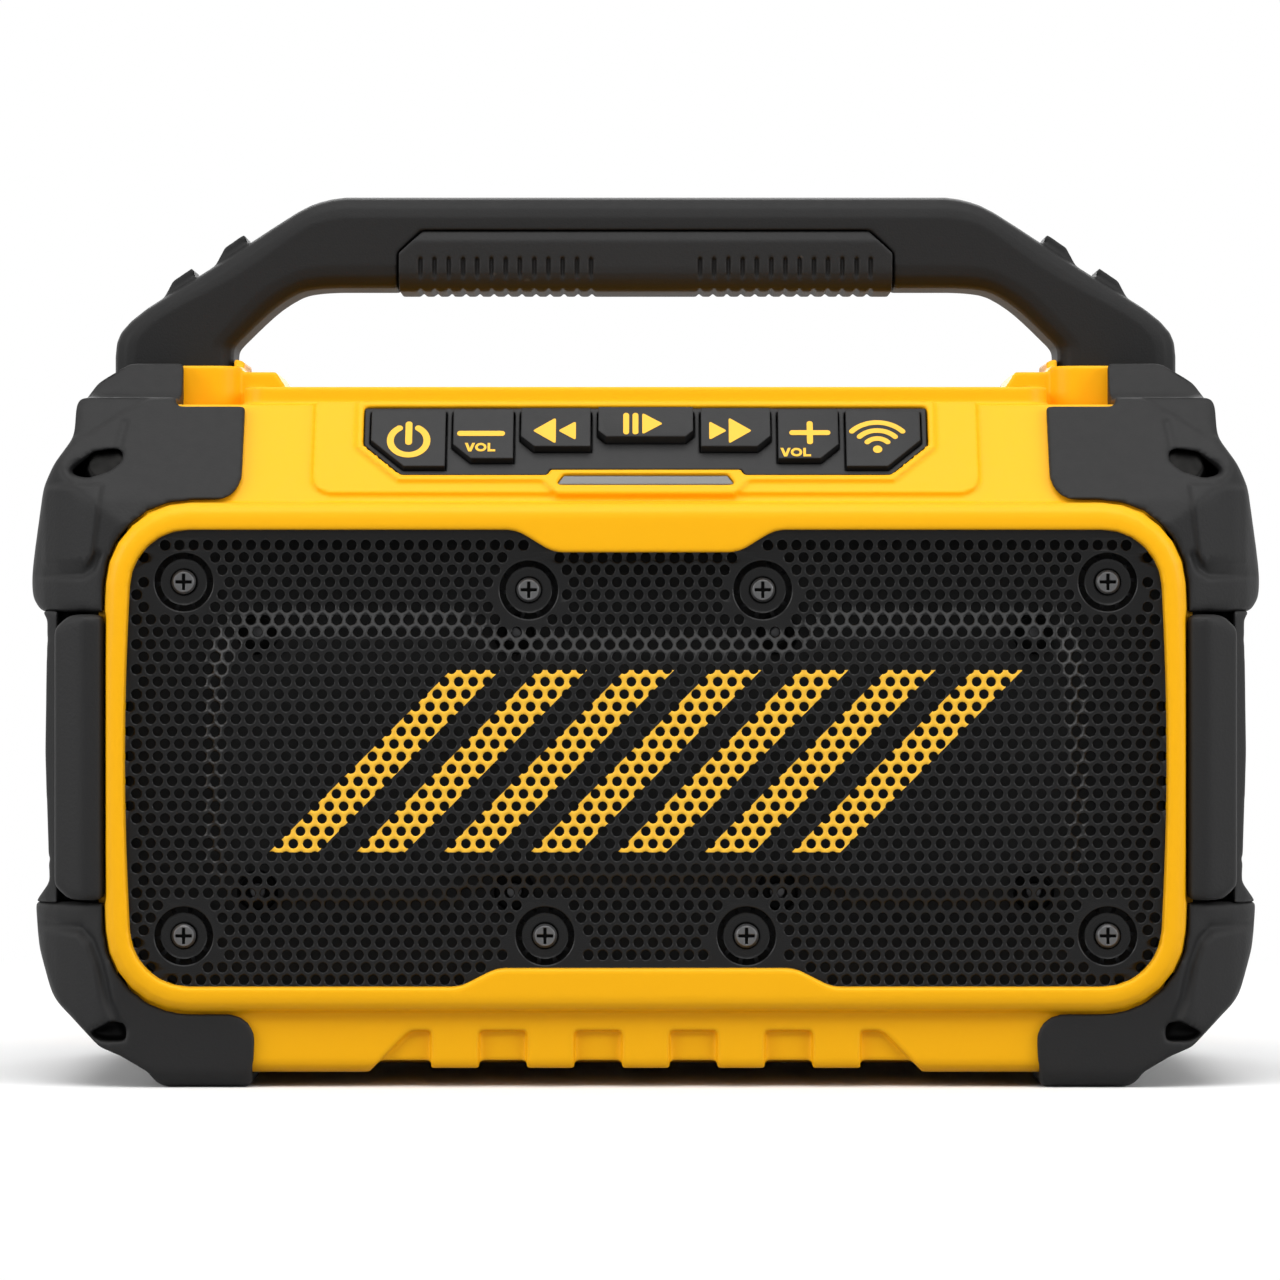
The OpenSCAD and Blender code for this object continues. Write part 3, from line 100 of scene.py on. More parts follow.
# what these outlines share, in millimetres: bow of the sides, width of a dip's ramps and rounding of their ends
SIDE_BOW = 2.2
RAMP = 7.5
RAMP_ROUND = 8

# the grille's screw seats on the right: places across and up, then the radius and depth of their rings, in millimetres
SEATS = ((94, 102.8), (23.8, 101.2), (94, 30.8), (20.5, 30.8))
SEAT_RINGS = ((6.3, 0), (6.05, 0.1), (5.85, 0.35), (4.75, 1.3), (4.4, 1.5), (3.9, 1.5), (1.6, 1.5))

# points round a seat's ring, the band of the seat that is slotted, and the points from one rib to the next
SEAT_TURNS = 40
SLOT_BAND = 2
SLOT_STEP = 4

# grille perforations: height of the middle row, rows and columns to each side of the middle, corners of a rim,
# the eased lip round a hole and the least sheet left beside one, in millimetres
HOLE_MIDDLE = 67.35
HOLE_ROWS = 21
HOLE_COLUMNS = 41
HOLE_SIDES = 12
LIP = 0.22
SPARE = 0.05

# boxes in millimetres, |x| from and to, then y and z, that are darkened: of the shell, its baffle behind the grille in
# its own black deepened by painted shade, and painted shade under the strap slots and behind the guards' seams; painted
# shade of the rubber inside the strap slots and of the grille screws below their faces
SHELL_BLACK_AND_SHADE = (
    (-1, 107.5, -60.7, -20, 19.5, 115.5), (102, 121, -100, -40, 123, 133), (111.6, 121, -100, -30, 15, 123))
SLOT_SHADE = ((113, 117.3, -51.5, -40, 122, 130.3),)
SCREW_SHADE = ((-1, 110, -61.4, -40, 0, 120),)

# the black of painted shade, also the own black of the baffle and the cloth behind the grille, and the colour of
# settled dust
BLACK_AND_SHADE = (0.004, 0.004, 0.004)
DUST = (0.55, 0.53, 0.5)

# the strap slot of an upper guard, in millimetres: its outline across and up, and the depths it is cut between
STRAP_SLOT = ((118.6, 124.9), (112.8, 129.6), (107.2, 130.2), (107.2, 127.4), (109.6, 125.4), (113.8, 124.1))
SLOT_DEPTHS = (-70, -46)

# rounding of the guards' outsides: where it starts and is full, in millimetres from the middle, and its passes
OUTSIDE_START = 112.5
OUTSIDE_FULL = 116.5
OUTSIDE_PASSES = 40

# fitting of the rubber: growth of a side panel's height, then growth of the edge pads and where it starts and is full
PANEL_GROWTH = 0.018
PAD_GROWTH = 0.9
PAD_START = 113
PAD_FULL = 119
PAD_FLOW = 30

# the studio: where the camera stands across, what the lamps point at, and how far from the middle the floor starts to
# turn to plain white and has turned
CAMERA_X = -0.00117
LAMP_AIM = Vector((0, 0, 0.08))
FLOOR_NEAR = 0.16
FLOOR_FAR = 0.5

KEYS = ["power", "volume_down", "previous", "play", "next", "volume_up", "wireless"]


# ---------------------------------------------------------------- settings


def colour_setting(name, description, default):
    """A colour that the user may change."""
    return FloatVectorProperty(
        name=name, description=description, subtype="COLOR", size=3, default=default, min=0, max=1)


def small_length(name, description, default, low, high):
    """A length that the user may change, given in millimetres."""
    return FloatProperty(
        name=name, description=description, unit="LENGTH", default=default * MM, min=low * MM, max=high * MM)


def power_setting(name, description, default):
    """A lamp's power that the user may change."""
    return FloatProperty(name=name, description=description, unit="POWER", default=default, min=0, max=200)


class SpeakerColours(bpy.types.PropertyGroup):
    """Colours of the visible finishes, scene linear."""

    shell: colour_setting("Shell", "Moulded housing", (0.93, 0.45, 0.004))
    rubber: colour_setting("Rubber", "Guards, pads and flap", (0.0105, 0.0105, 0.0108))
    handle: colour_setting("Handle", "Carrying handle", (0.0095, 0.0095, 0.0097))
    grille: colour_setting("Grille", "Powder coat on the grille", (0.0026, 0.0026, 0.0028))
    print: colour_setting("Print", "Key symbols and grille stripes", (0.90, 0.50, 0.040))
    keys: colour_setting("Keys", "Silicone keypad", (0.009, 0.009, 0.0094))


class SpeakerSizes(bpy.types.PropertyGroup):
    """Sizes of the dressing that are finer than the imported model."""

    hole: small_length("Grille hole", "Diameter of a grille perforation", 1.95, 1, 4)
    pitch: small_length("Grille pitch", "Distance between perforations", 2.92, 2, 8)
    small_round: small_length("Small edge", "Edge rounding of small parts", 0.25, 0.05, 1)
    rubber_voxel: small_length("Rubber skin", "Grain of the remeshed rubber skins", 0.55, 0.3, 2)
    shell_voxel: small_length("Shell skin", "Grain of the remeshed housing skins", 0.45, 0.3, 2)
    shell_flow: IntProperty(
        name="Shell flow", description="Smoothing passes over the housing skins", default=3, min=0, max=30)
    rubber_flow: IntProperty(
        name="Rubber flow", description="Smoothing passes over the rubber skins", default=9, min=0, max=30)


class SpeakerStage(bpy.types.PropertyGroup):
    """Camera and light of the product picture."""

    distance: FloatProperty(
        name="Camera distance", description="Camera to the middle of the object", unit="LENGTH",
        default=1.4, min=0.5, max=5)
    height: FloatProperty(
        name="Camera height", description="Camera above the floor", unit="LENGTH",
        default=0.091, min=0, max=2)
    lens: FloatProperty(
        name="Lens", description="Focal length in millimetres", unit="CAMERA", default=185.06, min=20, max=400)
    sky: FloatProperty(
        name="Fill light", description="Strength of the even light from all round", default=0.3, min=0, max=2)
    key_power: power_setting("Overhead power", "Watts of the overhead softbox", 13)
    rear_power: power_setting("Rear power", "Watts of the softbox behind the object", 9)
    side_power: power_setting("Side power", "Watts of each side softbox", 7)


# ---------------------------------------------------------------- shader groups


def shared(name):
    """Marks the maker of a shader group: made on the first call, and found by its name from then on."""
    def wrap(maker):
        return lambda: bpy.data.node_groups.get(name) or maker(name)
    return wrap


def new_group(name, inputs, values, normals=()):
    """An empty shader node group with number inputs, given with their defaults, and named outputs."""
    group = bpy.data.node_groups.new(name, "ShaderNodeTree")
    for socket, value in inputs.items():
        made = group.interface.new_socket(name=socket, in_out="INPUT", socket_type="NodeSocketFloat")
        made.default_value = value
    for kind, sockets in (("NodeSocketVector", normals), ("NodeSocketFloat", values)):
        for socket in sockets:
            group.interface.new_socket(name=socket, in_out="OUTPUT", socket_type=kind)
    return group, group.nodes.new("NodeGroupInput").outputs, group.nodes.new("NodeGroupOutput").inputs


def feed(tree, value, socket):
    """Sets a socket to a plain number, or links another socket to it."""
    if isinstance(value, (int, float)):
        socket.default_value = value
    else:
        tree.links.new(value, socket)


def math_node(tree, operation, *values):
    """A Math node fed by sockets or plain numbers."""
    node = tree.nodes.new("ShaderNodeMath")
    node.operation = operation
    for value, socket in zip(values, node.inputs):
        feed(tree, value, socket)
    return node.outputs[0]


def noise(group, scale, detail=2):
    """Noise over the object, at a plain scale or one from a socket."""
    coords = group.nodes.new("ShaderNodeTexCoord")
    node = group.nodes.new("ShaderNodeTexNoise")
    node.inputs["Detail"].default_value = detail
    group.links.new(coords.outputs["Object"], node.inputs["Vector"])
    feed(group, scale, node.inputs["Scale"])
    return node.outputs["Fac"]


def parts_of(group, kind, output):
    """The X, Y and Z parts of what a node of some kind puts out."""
    parts = group.nodes.new("ShaderNodeSeparateXYZ")
    group.links.new(group.nodes.new(kind).outputs[output], parts.inputs[0])
    return parts.outputs


@shared("Mould grain")
def grain_group(name):
    """Spark eroded mould grain: a fine height and a broad, soft tone."""
    group, given, result = new_group(name, {"Scale": 1800.0, "Clouding": 22.0}, ("Height", "Tone"))
    group.links.new(noise(group, given["Scale"]), result["Height"])
    group.links.new(noise(group, given["Clouding"], 3), result["Tone"])
    return group


@shared("Rubbed rims")
def rim_group(name):
    """Rounded normals along edges, and a broken mask of the edges that hands and floors rub."""
    group, given, result = new_group(name, {"Radius": 0.0005}, ("Mask",), ("Normal",))
    rim = group.nodes.new("ShaderNodeBevel")
    rim.samples = 6
    group.links.new(given["Radius"], rim.inputs["Radius"])
    flat = group.nodes.new("ShaderNodeNewGeometry")
    turn = group.nodes.new("ShaderNodeVectorMath")
    turn.operation = "DOT_PRODUCT"
    group.links.new(rim.outputs["Normal"], turn.inputs[0])
    group.links.new(flat.outputs["Normal"], turn.inputs[1])
    bare = math_node(group, "SUBTRACT", 1.0, turn.outputs["Value"])
    strong = math_node(group, "MULTIPLY", bare, 5.0)
    patchy = math_node(group, "MULTIPLY", strong, noise(group, 260))
    group.links.new(rim.outputs["Normal"], result["Normal"])
    group.links.new(math_node(group, "MINIMUM", patchy, 1.0), result["Mask"])
    return group


@shared("Worn skin")
def wear_and_sheen_group(name):
    """A broken mask of the proud edges of a fine skin, where hands and floors rub and where a painted highlight lies
    along them.
    """
    group, given, result = new_group(name, {"Onset": 0.53}, ("Mask",))
    shape = group.nodes.new("ShaderNodeNewGeometry")
    proud = math_node(group, "SUBTRACT", shape.outputs["Pointiness"], given["Onset"])
    strong = math_node(group, "MULTIPLY", math_node(group, "MAXIMUM", proud, 0.0), 9.0)
    patchy = math_node(group, "MULTIPLY", math_node(group, "MINIMUM", strong, 1.0), noise(group, 240))
    group.links.new(patchy, result["Mask"])
    return group


@shared("Plain weave")
def weave_group(name):
    """Plain weave: threads over and under in two directions."""
    group, given, result = new_group(name, {"Scale": 900.0}, ("Height",))
    coords = group.nodes.new("ShaderNodeTexCoord")
    threads = []
    for direction in ("X", "Z"):
        wave = group.nodes.new("ShaderNodeTexWave")
        wave.bands_direction = direction
        group.links.new(coords.outputs["Object"], wave.inputs["Vector"])
        group.links.new(given["Scale"], wave.inputs["Scale"])
        threads.append(wave.outputs["Fac"])
    group.links.new(math_node(group, "MAXIMUM", *threads), result["Height"])
    return group


@shared("Mirrored box")
def box_group(name):
    """Marks what lies inside a box that is mirrored left and right."""
    limits = ("Inner", "Outer", "Front", "Back", "Low", "High")
    group, given, result = new_group(name, dict.fromkeys(limits, 0.0), ("Mask",))
    across, deep, high = parts_of(group, "ShaderNodeTexCoord", "Object")
    mask = 1.0
    for spot, low, top in zip((math_node(group, "ABSOLUTE", across), deep, high), limits[::2], limits[1::2]):
        past = math_node(group, "GREATER_THAN", spot, given[low])
        short = math_node(group, "LESS_THAN", spot, given[top])
        mask = math_node(group, "MULTIPLY", mask, math_node(group, "MULTIPLY", past, short))
    group.links.new(mask, result["Mask"])
    return group


@shared("Settled dust")
def dust_group(name):
    """Fine dust that settles on faces that look upward."""
    group, given, result = new_group(name, {"Amount": 0.1}, ("Mask",))
    facing = parts_of(group, "ShaderNodeNewGeometry", "Normal")
    upward = math_node(group, "MAXIMUM", facing["Z"], 0.0)
    lying = math_node(group, "MULTIPLY", upward, noise(group, 420, 5))
    group.links.new(math_node(group, "MULTIPLY", lying, given["Amount"]), result["Mask"])
    return group


@shared("Slanted stripes")
def stripe_group(name):
    """Slanted stripes printed on the middle of the grille's front face."""
    group, given, result = new_group(
        name, {"Half width": 0.058, "Half height": 0.0185, "Middle": 0.0664, "Pitch": 0.01768, "Share": 0.56},
        ("Mask",))
    place = parts_of(group, "ShaderNodeTexCoord", "Object")
    facing = parts_of(group, "ShaderNodeNewGeometry", "Normal")
    rise = math_node(group, "SUBTRACT", place["Z"], given["Middle"])
    slant = math_node(group, "SUBTRACT", place["X"], rise)
    in_height = math_node(group, "LESS_THAN", math_node(group, "ABSOLUTE", rise), given["Half height"])
    in_width = math_node(group, "LESS_THAN", math_node(group, "ABSOLUTE", slant), given["Half width"])
    along = math_node(group, "ADD", slant, given["Half width"])
    turns = math_node(group, "FRACT", math_node(group, "DIVIDE", along, given["Pitch"]))
    stripe = math_node(group, "LESS_THAN", turns, given["Share"])
    front = math_node(group, "LESS_THAN", facing["Y"], -0.5)
    mask = math_node(group, "MULTIPLY", math_node(group, "MULTIPLY", in_height, in_width),
                     math_node(group, "MULTIPLY", stripe, front))
    group.links.new(mask, result["Mask"])
    return group


# ---------------------------------------------------------------- finishes


def place_group(tree, group, **values):
    """A group node with its own values in a material's tree; gives its outputs."""
    node = tree.nodes.new("ShaderNodeGroup")
    node.node_tree = group
    for name, value in values.items():
        node.inputs[name].default_value = value
    return node.outputs


def blend_colours(tree, factor, first, second):
    """A colour mix between two colours, or a socket and a colour, by a varying factor."""
    node = tree.nodes.new("ShaderNodeMix")
    node.data_type = "RGBA"
    tree.links.new(factor, node.inputs["Factor"])
    for name, value in (("A", first), ("B", second)):
        socket = [s for s in node.inputs if s.name == name and s.type == "RGBA"][0]
        if isinstance(value, bpy.types.NodeSocket):
            tree.links.new(value, socket)
        else:
            socket.default_value = (*value, 1)
    return [s for s in node.outputs if s.type == "RGBA"][0]


def shade(colour, factor):
    """A colour made lighter or darker."""
    return tuple(min(1.0, c * factor) for c in colour)


def finish(name, colour, roughness, metallic=0.0, grain=1800.0, depth=0.06, rim=0.0, wear_and_sheen=None, dust=0.0,
           clouds=0.94, coat=0.0, clouding=22.0, printed=None, specular=0.5, woven=0.0, shade_and_black_boxes=()):
    """A procedural finish: clouded colour, mould grain or weave, rubbed edges that on fine skins are partly painted
    highlight, boxes darkened with painted shade, print and settled dust.
    """
    made = bpy.data.materials.get(name)
    if made:
        return made
    made = bpy.data.materials.new(name)
    made.use_nodes = True
    tree = made.node_tree
    shader = tree.nodes["Principled BSDF"].inputs
    shader["Metallic"].default_value = metallic
    shader["Specular IOR Level"].default_value = specular
    shader["Coat Weight"].default_value = coat
    shader["Coat Roughness"].default_value = 0.25
    grained = place_group(tree, grain_group(), Scale=grain, Clouding=clouding)
    height = grained["Height"]
    shown = blend_colours(tree, grained["Tone"], shade(colour, clouds), shade(colour, 2 - clouds))
    unlit_metallic = metallic
    # painted shade: inside each box the colour turns to the unlit black and the metallic is raised, so no light shows
    # there; the shell's box behind the grille is also its baffle's own black
    for inner, outer, front, back, low, high in np.multiply(shade_and_black_boxes, MM):
        dark = place_group(
            tree, box_group(), Inner=inner, Outer=outer, Front=front, Back=back, Low=low, High=high)["Mask"]
        shown = blend_colours(tree, dark, shown, BLACK_AND_SHADE)
        unlit_metallic = math_node(tree, "MAXIMUM", unlit_metallic, dark)
    if shade_and_black_boxes:
        tree.links.new(unlit_metallic, shader["Metallic"])
    if printed:
        shown = blend_colours(tree, place_group(tree, stripe_group())["Mask"], shown, printed)
    bump = tree.nodes.new("ShaderNodeBump")
    bump.inputs["Strength"].default_value = depth
    bump.inputs["Distance"].default_value = 0.4 * MM
    if rim:
        edges = place_group(tree, rim_group(), Radius=rim)
        tree.links.new(edges["Normal"], bump.inputs["Normal"])
    # on the rubber and the handle the worn skin mask lightens proud edges: partly rubbed wear, partly a painted
    # highlight
    elif wear_and_sheen:
        edges = place_group(tree, wear_and_sheen_group())
    if wear_and_sheen:
        shown = blend_colours(tree, edges["Mask"], shown, wear_and_sheen)
    if dust:
        shown = blend_colours(tree, place_group(tree, dust_group(), Amount=dust)["Mask"], shown, DUST)
    if woven:
        height = place_group(tree, weave_group(), Scale=woven)["Height"]
    spread = tree.nodes.new("ShaderNodeMapRange")
    spread.inputs["To Min"].default_value = roughness * 0.9
    spread.inputs["To Max"].default_value = min(1.0, roughness * 1.1)
    tree.links.new(grained["Tone"], spread.inputs["Value"])
    tree.links.new(spread.outputs["Result"], shader["Roughness"])
    tree.links.new(shown, shader["Base Color"])
    tree.links.new(height, bump.inputs["Height"])
    tree.links.new(bump.outputs["Normal"], shader["Normal"])
    return made


def seen_directly(tree):
    """A value of 1 for what the camera sees, straight or in metal and glass, and 0 for light thrown on."""
    path = tree.nodes.new("ShaderNodeLightPath")
    mirrored = math_node(tree, "MAXIMUM", path.outputs["Is Glossy Ray"], path.outputs["Is Transmission Ray"])
    return math_node(tree, "MAXIMUM", path.outputs["Is Camera Ray"], mirrored)


def floor_finish():
    """Pale studio floor that throws little light back and runs out into plain white away from the object."""
    made = bpy.data.materials.new("pale_floor")
    made.use_nodes = True
    tree = made.node_tree
    shader = tree.nodes["Principled BSDF"]
    shader.inputs["Base Color"].default_value = (0.93, 0.93, 0.93, 1)
    shader.inputs["Roughness"].default_value = 0.8
    shader.inputs["Specular IOR Level"].default_value = 0.1
    coords = tree.nodes.new("ShaderNodeTexCoord")
    reach = tree.nodes.new("ShaderNodeVectorMath")
    reach.operation = "LENGTH"
    tree.links.new(coords.outputs["Object"], reach.inputs[0])
    fade = tree.nodes.new("ShaderNodeMapRange")
    fade.interpolation_type = "SMOOTHSTEP"
    fade.inputs["From Min"].default_value = FLOOR_NEAR
    fade.inputs["From Max"].default_value = FLOOR_FAR
    tree.links.new(reach.outputs["Value"], fade.inputs["Value"])
    glow = tree.nodes.new("ShaderNodeEmission")
    seen = tree.nodes.new("ShaderNodeMixShader")
    tree.links.new(fade.outputs["Result"], seen.inputs["Fac"])
    tree.links.new(shader.outputs["BSDF"], seen.inputs[1])
    tree.links.new(glow.outputs["Emission"], seen.inputs[2])
    dim = tree.nodes.new("ShaderNodeBsdfDiffuse")
    dim.inputs["Color"].default_value = (0.36, 0.36, 0.36, 1)
    mix = tree.nodes.new("ShaderNodeMixShader")
    tree.links.new(seen_directly(tree), mix.inputs["Fac"])
    tree.links.new(dim.outputs["BSDF"], mix.inputs[1])
    tree.links.new(seen.outputs["Shader"], mix.inputs[2])
    tree.links.new(mix.outputs["Shader"], tree.nodes["Material Output"].inputs["Surface"])
    return made


def studio_world(strength):
    """Even fill light that the camera sees as plain white."""
    world = bpy.data.worlds.new("studio_light")
    world.use_nodes = True
    tree = world.node_tree
    fill = tree.nodes["Background"]
    fill.inputs["Color"].default_value = (1, 1, 1, 1)
    fill.inputs["Strength"].default_value = strength
    white = tree.nodes.new("ShaderNodeBackground")
    white.inputs["Color"].default_value = (1, 1, 1, 1)
    white.inputs["Strength"].default_value = 1.0
    mix = tree.nodes.new("ShaderNodeMixShader")
    tree.links.new(seen_directly(tree), mix.inputs["Fac"])
    tree.links.new(fill.outputs["Background"], mix.inputs[1])
    tree.links.new(white.outputs["Background"], mix.inputs[2])
    tree.links.new(mix.outputs["Shader"], tree.nodes["World Output"].inputs["Surface"])
    return world


def lens_finish():
    """Frosted light pipe: grey, a little see-through, with a fine frost."""
    made = finish("frosted_lens", (0.2, 0.2, 0.195), 0.3, grain=3000, depth=0.1, rim=0.2 * MM)
    made.node_tree.nodes["Principled BSDF"].inputs["Transmission Weight"].default_value = 0.35
    return made


def colours():
    """The colour settings of this scene."""
    return bpy.context.scene.speaker_colours


def sizes():
    """The size settings of this scene."""
    return bpy.context.scene.speaker_sizes


def shell_finish():
    """Satin moulded plastic of the housing: its baffle behind the grille black and in painted shade, and painted shade
    under the strap slots and behind the seams.
    """
    return finish("satin_shell", tuple(colours().shell), 0.42, grain=2600, depth=0.05, clouds=0.985, dust=0.03,
                  specular=0.16, shade_and_black_boxes=SHELL_BLACK_AND_SHADE)


def rubber_finish():
    """Matte rubber of the guards, with rubbed edges that are partly painted highlight, and painted shade in the strap
    slots.
    """
    return finish("matte_rubber", tuple(colours().rubber), 0.55, grain=1500, depth=0.14, wear_and_sheen=(0.05, 0.05, 0.051),
                  clouds=0.9, dust=0.02, specular=0.2, shade_and_black_boxes=SLOT_SHADE)


def handle_finish():
    """Glass filled nylon of the handle, with rubbed edges that are partly painted highlight."""
    return finish("handle_nylon", tuple(colours().handle), 0.55, grain=2200, depth=0.12, wear_and_sheen=(0.03, 0.03, 0.031),
                  clouds=0.92, dust=0.02, specular=0.17)


def key_finish():
    """Silicone of the keypad."""
    return finish("key_silicone", tuple(colours().keys), 0.48, grain=2600, depth=0.07, rim=0.4 * MM, clouds=0.95,
                  dust=0.02, specular=0.24)


def print_finish():
    """Print of the key symbols."""
    return finish("symbol_print", tuple(colours().print), 0.5, grain=3200, depth=0.05, clouds=0.97, specular=0.3)


def grille_finish():
    """Powder coat of the grille, with printed stripes."""
    return finish("grille_powder_coat", tuple(colours().grille), 0.25, grain=3400, depth=0.1, clouds=0.9,
                  specular=0.22, printed=tuple(colours().print))


def screw_finish():
    """Black zinc of the outside screws."""
    return finish("black_zinc", (0.06, 0.06, 0.062), 0.3, metallic=0.7, grain=2400, depth=0.08, rim=0.25 * MM,
                  wear_and_sheen=(0.1, 0.1, 0.1))


def grille_screw_finish():
    """Black zinc of the grille screws, with painted shade in the recess and round the edge of the heads."""
    return finish("grille_screw_zinc", (0.1, 0.1, 0.102), 0.3, metallic=0.7, grain=2400, depth=0.08, rim=0.2 * MM,
                  shade_and_black_boxes=SCREW_SHADE)


def steel_finish():
    """Zinc plated steel."""
    return finish("zinc_steel", (0.56, 0.56, 0.54), 0.32, metallic=1.0, grain=900, depth=0.06, rim=0.3 * MM,
                  clouds=0.9)


def plastic_finish():
    """Black plastic of the battery bay and the socket parts."""
    return finish("black_plastic", (0.014, 0.014, 0.0145), 0.48, grain=2200, depth=0.1, rim=0.4 * MM,
                  wear_and_sheen=(0.05, 0.05, 0.05), dust=0.05)


def board_finish():
    """Green solder mask of the circuit boards."""
    return finish("solder_mask", (0.012, 0.085, 0.028), 0.3, grain=700, depth=0.04, rim=0.15 * MM, clouds=0.86,
                  coat=0.3, clouding=90)


# ---------------------------------------------------------------- building helpers


def add_piece(name, mesh, body, material, smooth=35):
    """A mesh as a named piece that rides on a body, with its finish and soft shading."""
    piece = bpy.data.objects.new(name, mesh)
    bpy.context.scene.collection.objects.link(piece)
    mesh.materials.clear()
    mesh.materials.append(material)
    mesh.shade_smooth()
    mesh.set_sharp_from_angle(angle=math.radians(smooth))
    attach(piece, body)
    return piece


def body_of(node):
    """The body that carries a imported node."""
    return frame["nodes"][node]["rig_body"]


def moulded_copy(node, material, width, segments=2):
    """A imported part's mesh, cleaned and edge rounded, standing in for that part."""
    mesh = frame["nodes"][node].data.copy()
    bm = bmesh.new()
    bm.from_mesh(mesh)
    bmesh.ops.remove_doubles(bm, verts=bm.verts, dist=MERGE)
    bmesh.ops.dissolve_limit(bm, angle_limit=math.radians(0.6), verts=bm.verts, edges=bm.edges)
    bm.to_mesh(mesh)
    bm.free()
    piece = add_piece(node + ".moulded", mesh, body_of(node), material)
    edge = piece.modifiers.new("edges", "BEVEL")
    edge.width = width
    edge.segments = segments
    edge.limit_method = "ANGLE"
    edge.angle_limit = math.radians(28)
    edge.use_clamp_overlap = True
    edge.harden_normals = False
    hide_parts(node)


def settle(piece):
    """Applies a piece's modifiers to its mesh."""
    shaped = piece.evaluated_get(bpy.context.evaluated_depsgraph_get())
    mesh = bpy.data.meshes.new_from_object(shaped)
    piece.modifiers.clear()
    piece.data = mesh


def ease(piece, passes):
    """A modifier that eases a piece's skin."""
    soft = piece.modifiers.new("ease", "SMOOTH")
    soft.factor = 0.5
    soft.iterations = passes
    return soft


def soften_outside(piece):
    """Rounds the part of a guard's skin that lies far out to the side."""
    group = piece.vertex_groups.new(name="outside")
    for spot in piece.data.vertices:
        share = min((abs(spot.co.x) / MM - OUTSIDE_START) / (OUTSIDE_FULL - OUTSIDE_START), 1.0)
        if share > 0:
            group.add([spot.index], share, "REPLACE")
    ease(piece, OUTSIDE_PASSES).vertex_group = group.name
    settle(piece)
    piece.vertex_groups.clear()


def slot_cutter():
    """A tool for cutting: the strap slot's outline and its mirror image, carried through the slot's depths."""
    near, far = SLOT_DEPTHS
    bm = bmesh.new()
    for side in (-1, 1):
        face = bm.faces.new([bm.verts.new((side * x * MM, near * MM, z * MM)) for x, z in STRAP_SLOT])
        pushed = bmesh.ops.extrude_face_region(bm, geom=[face])["geom"]
        bmesh.ops.translate(bm, vec=(0, (far - near) * MM, 0),
                            verts=[part for part in pushed if isinstance(part, bmesh.types.BMVert)])
    bmesh.ops.recalc_face_normals(bm, faces=bm.faces)
    mesh = bpy.data.meshes.new("cutter")
    bm.to_mesh(mesh)
    bm.free()
    tool = bpy.data.objects.new("cutter", mesh)
    bpy.context.scene.collection.objects.link(tool)
    return tool


def cut_slot(piece):
    """Cuts the strap slot out of an upper guard."""
    bm = bmesh.new()
    bm.from_mesh(piece.data)
    bmesh.ops.remove_doubles(bm, verts=bm.verts, dist=MERGE)
    bm.to_mesh(piece.data)
    bm.free()
    tool = slot_cutter()
    cut = piece.modifiers.new("cut", "BOOLEAN")
    cut.operation = "DIFFERENCE"
    cut.solver = "EXACT"
    cut.object = tool
    settle(piece)
    bpy.data.objects.remove(tool)


def soft_copy(node, material, voxel, flow, keep=0.5, relief=None, fit=None, slotted=False):
    """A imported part's skin remeshed fine and eased, so its edges flow like a moulding; stands in for that part.

    A relief makes it a guard, with rounded outsides; fit is a rule that moves its points.
    """
    piece = add_piece(node + ".moulded", frame["nodes"][node].data.copy(), body_of(node), material)
    if slotted:
        cut_slot(piece)
    skin = piece.modifiers.new("skin", "REMESH")
    skin.mode = "VOXEL"
    skin.voxel_size = voxel
    skin.use_smooth_shade = True
    ease(piece, flow)
    settle(piece)
    if fit:
        reshape(piece.data, fit)
    if relief:
        soften_outside(piece)
        mould(piece.data, relief)
    thin = piece.modifiers.new("thin", "DECIMATE")
    thin.ratio = keep
    settle(piece)
    piece.data.shade_smooth()
    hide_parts(node)


def reshape(mesh, rule):
    """Moves the points of a mesh by a rule on their places in millimetres."""
    spots = np.empty(len(mesh.vertices) * 3)
    mesh.vertices.foreach_get("co", spots)
    mesh.vertices.foreach_set("co", (rule(spots.reshape(-1, 3) / MM) * MM).ravel())
    mesh.update()


def mould(mesh, relief):
    """Moves the front of a skin by a relief, given in millimetres outward at each (|x|, z) spot."""
    facing = np.empty(len(mesh.vertices) * 3)
    mesh.vertex_normals.foreach_get("vector", facing)
    facing = np.clip((-facing.reshape(-1, 3)[:, 1] - 0.2) / 0.4, 0, 1)

    def pressed(spots):
        flat = np.column_stack([np.abs(spots[:, 0]), spots[:, 2]])
        return spots - np.outer(relief(flat) * facing, (0, 1, 0))

    reshape(mesh, pressed)


def meet_guards(spots):
    """Lengthens a side panel until it meets the guards above and below it."""
    middle = (spots[:, 2].min() + spots[:, 2].max()) / 2
    return spots * (1, 1, 1 + PANEL_GROWTH) - (0, 0, PANEL_GROWTH * middle)


def meet_panels(spots):
    """Widens the edge pads until they meet the side panels."""
    grow = PAD_GROWTH * np.clip((np.abs(spots[:, 0]) - PAD_START) / (PAD_FULL - PAD_START), 0, 1)
    return spots + np.outer(grow * np.sign(spots[:, 0]), (1, 0, 0))


def dress(node, material):
    """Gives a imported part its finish, its own mesh left as it is."""
    part = frame["nodes"][node]
    part.data.materials.clear()
    part.data.materials.append(material)


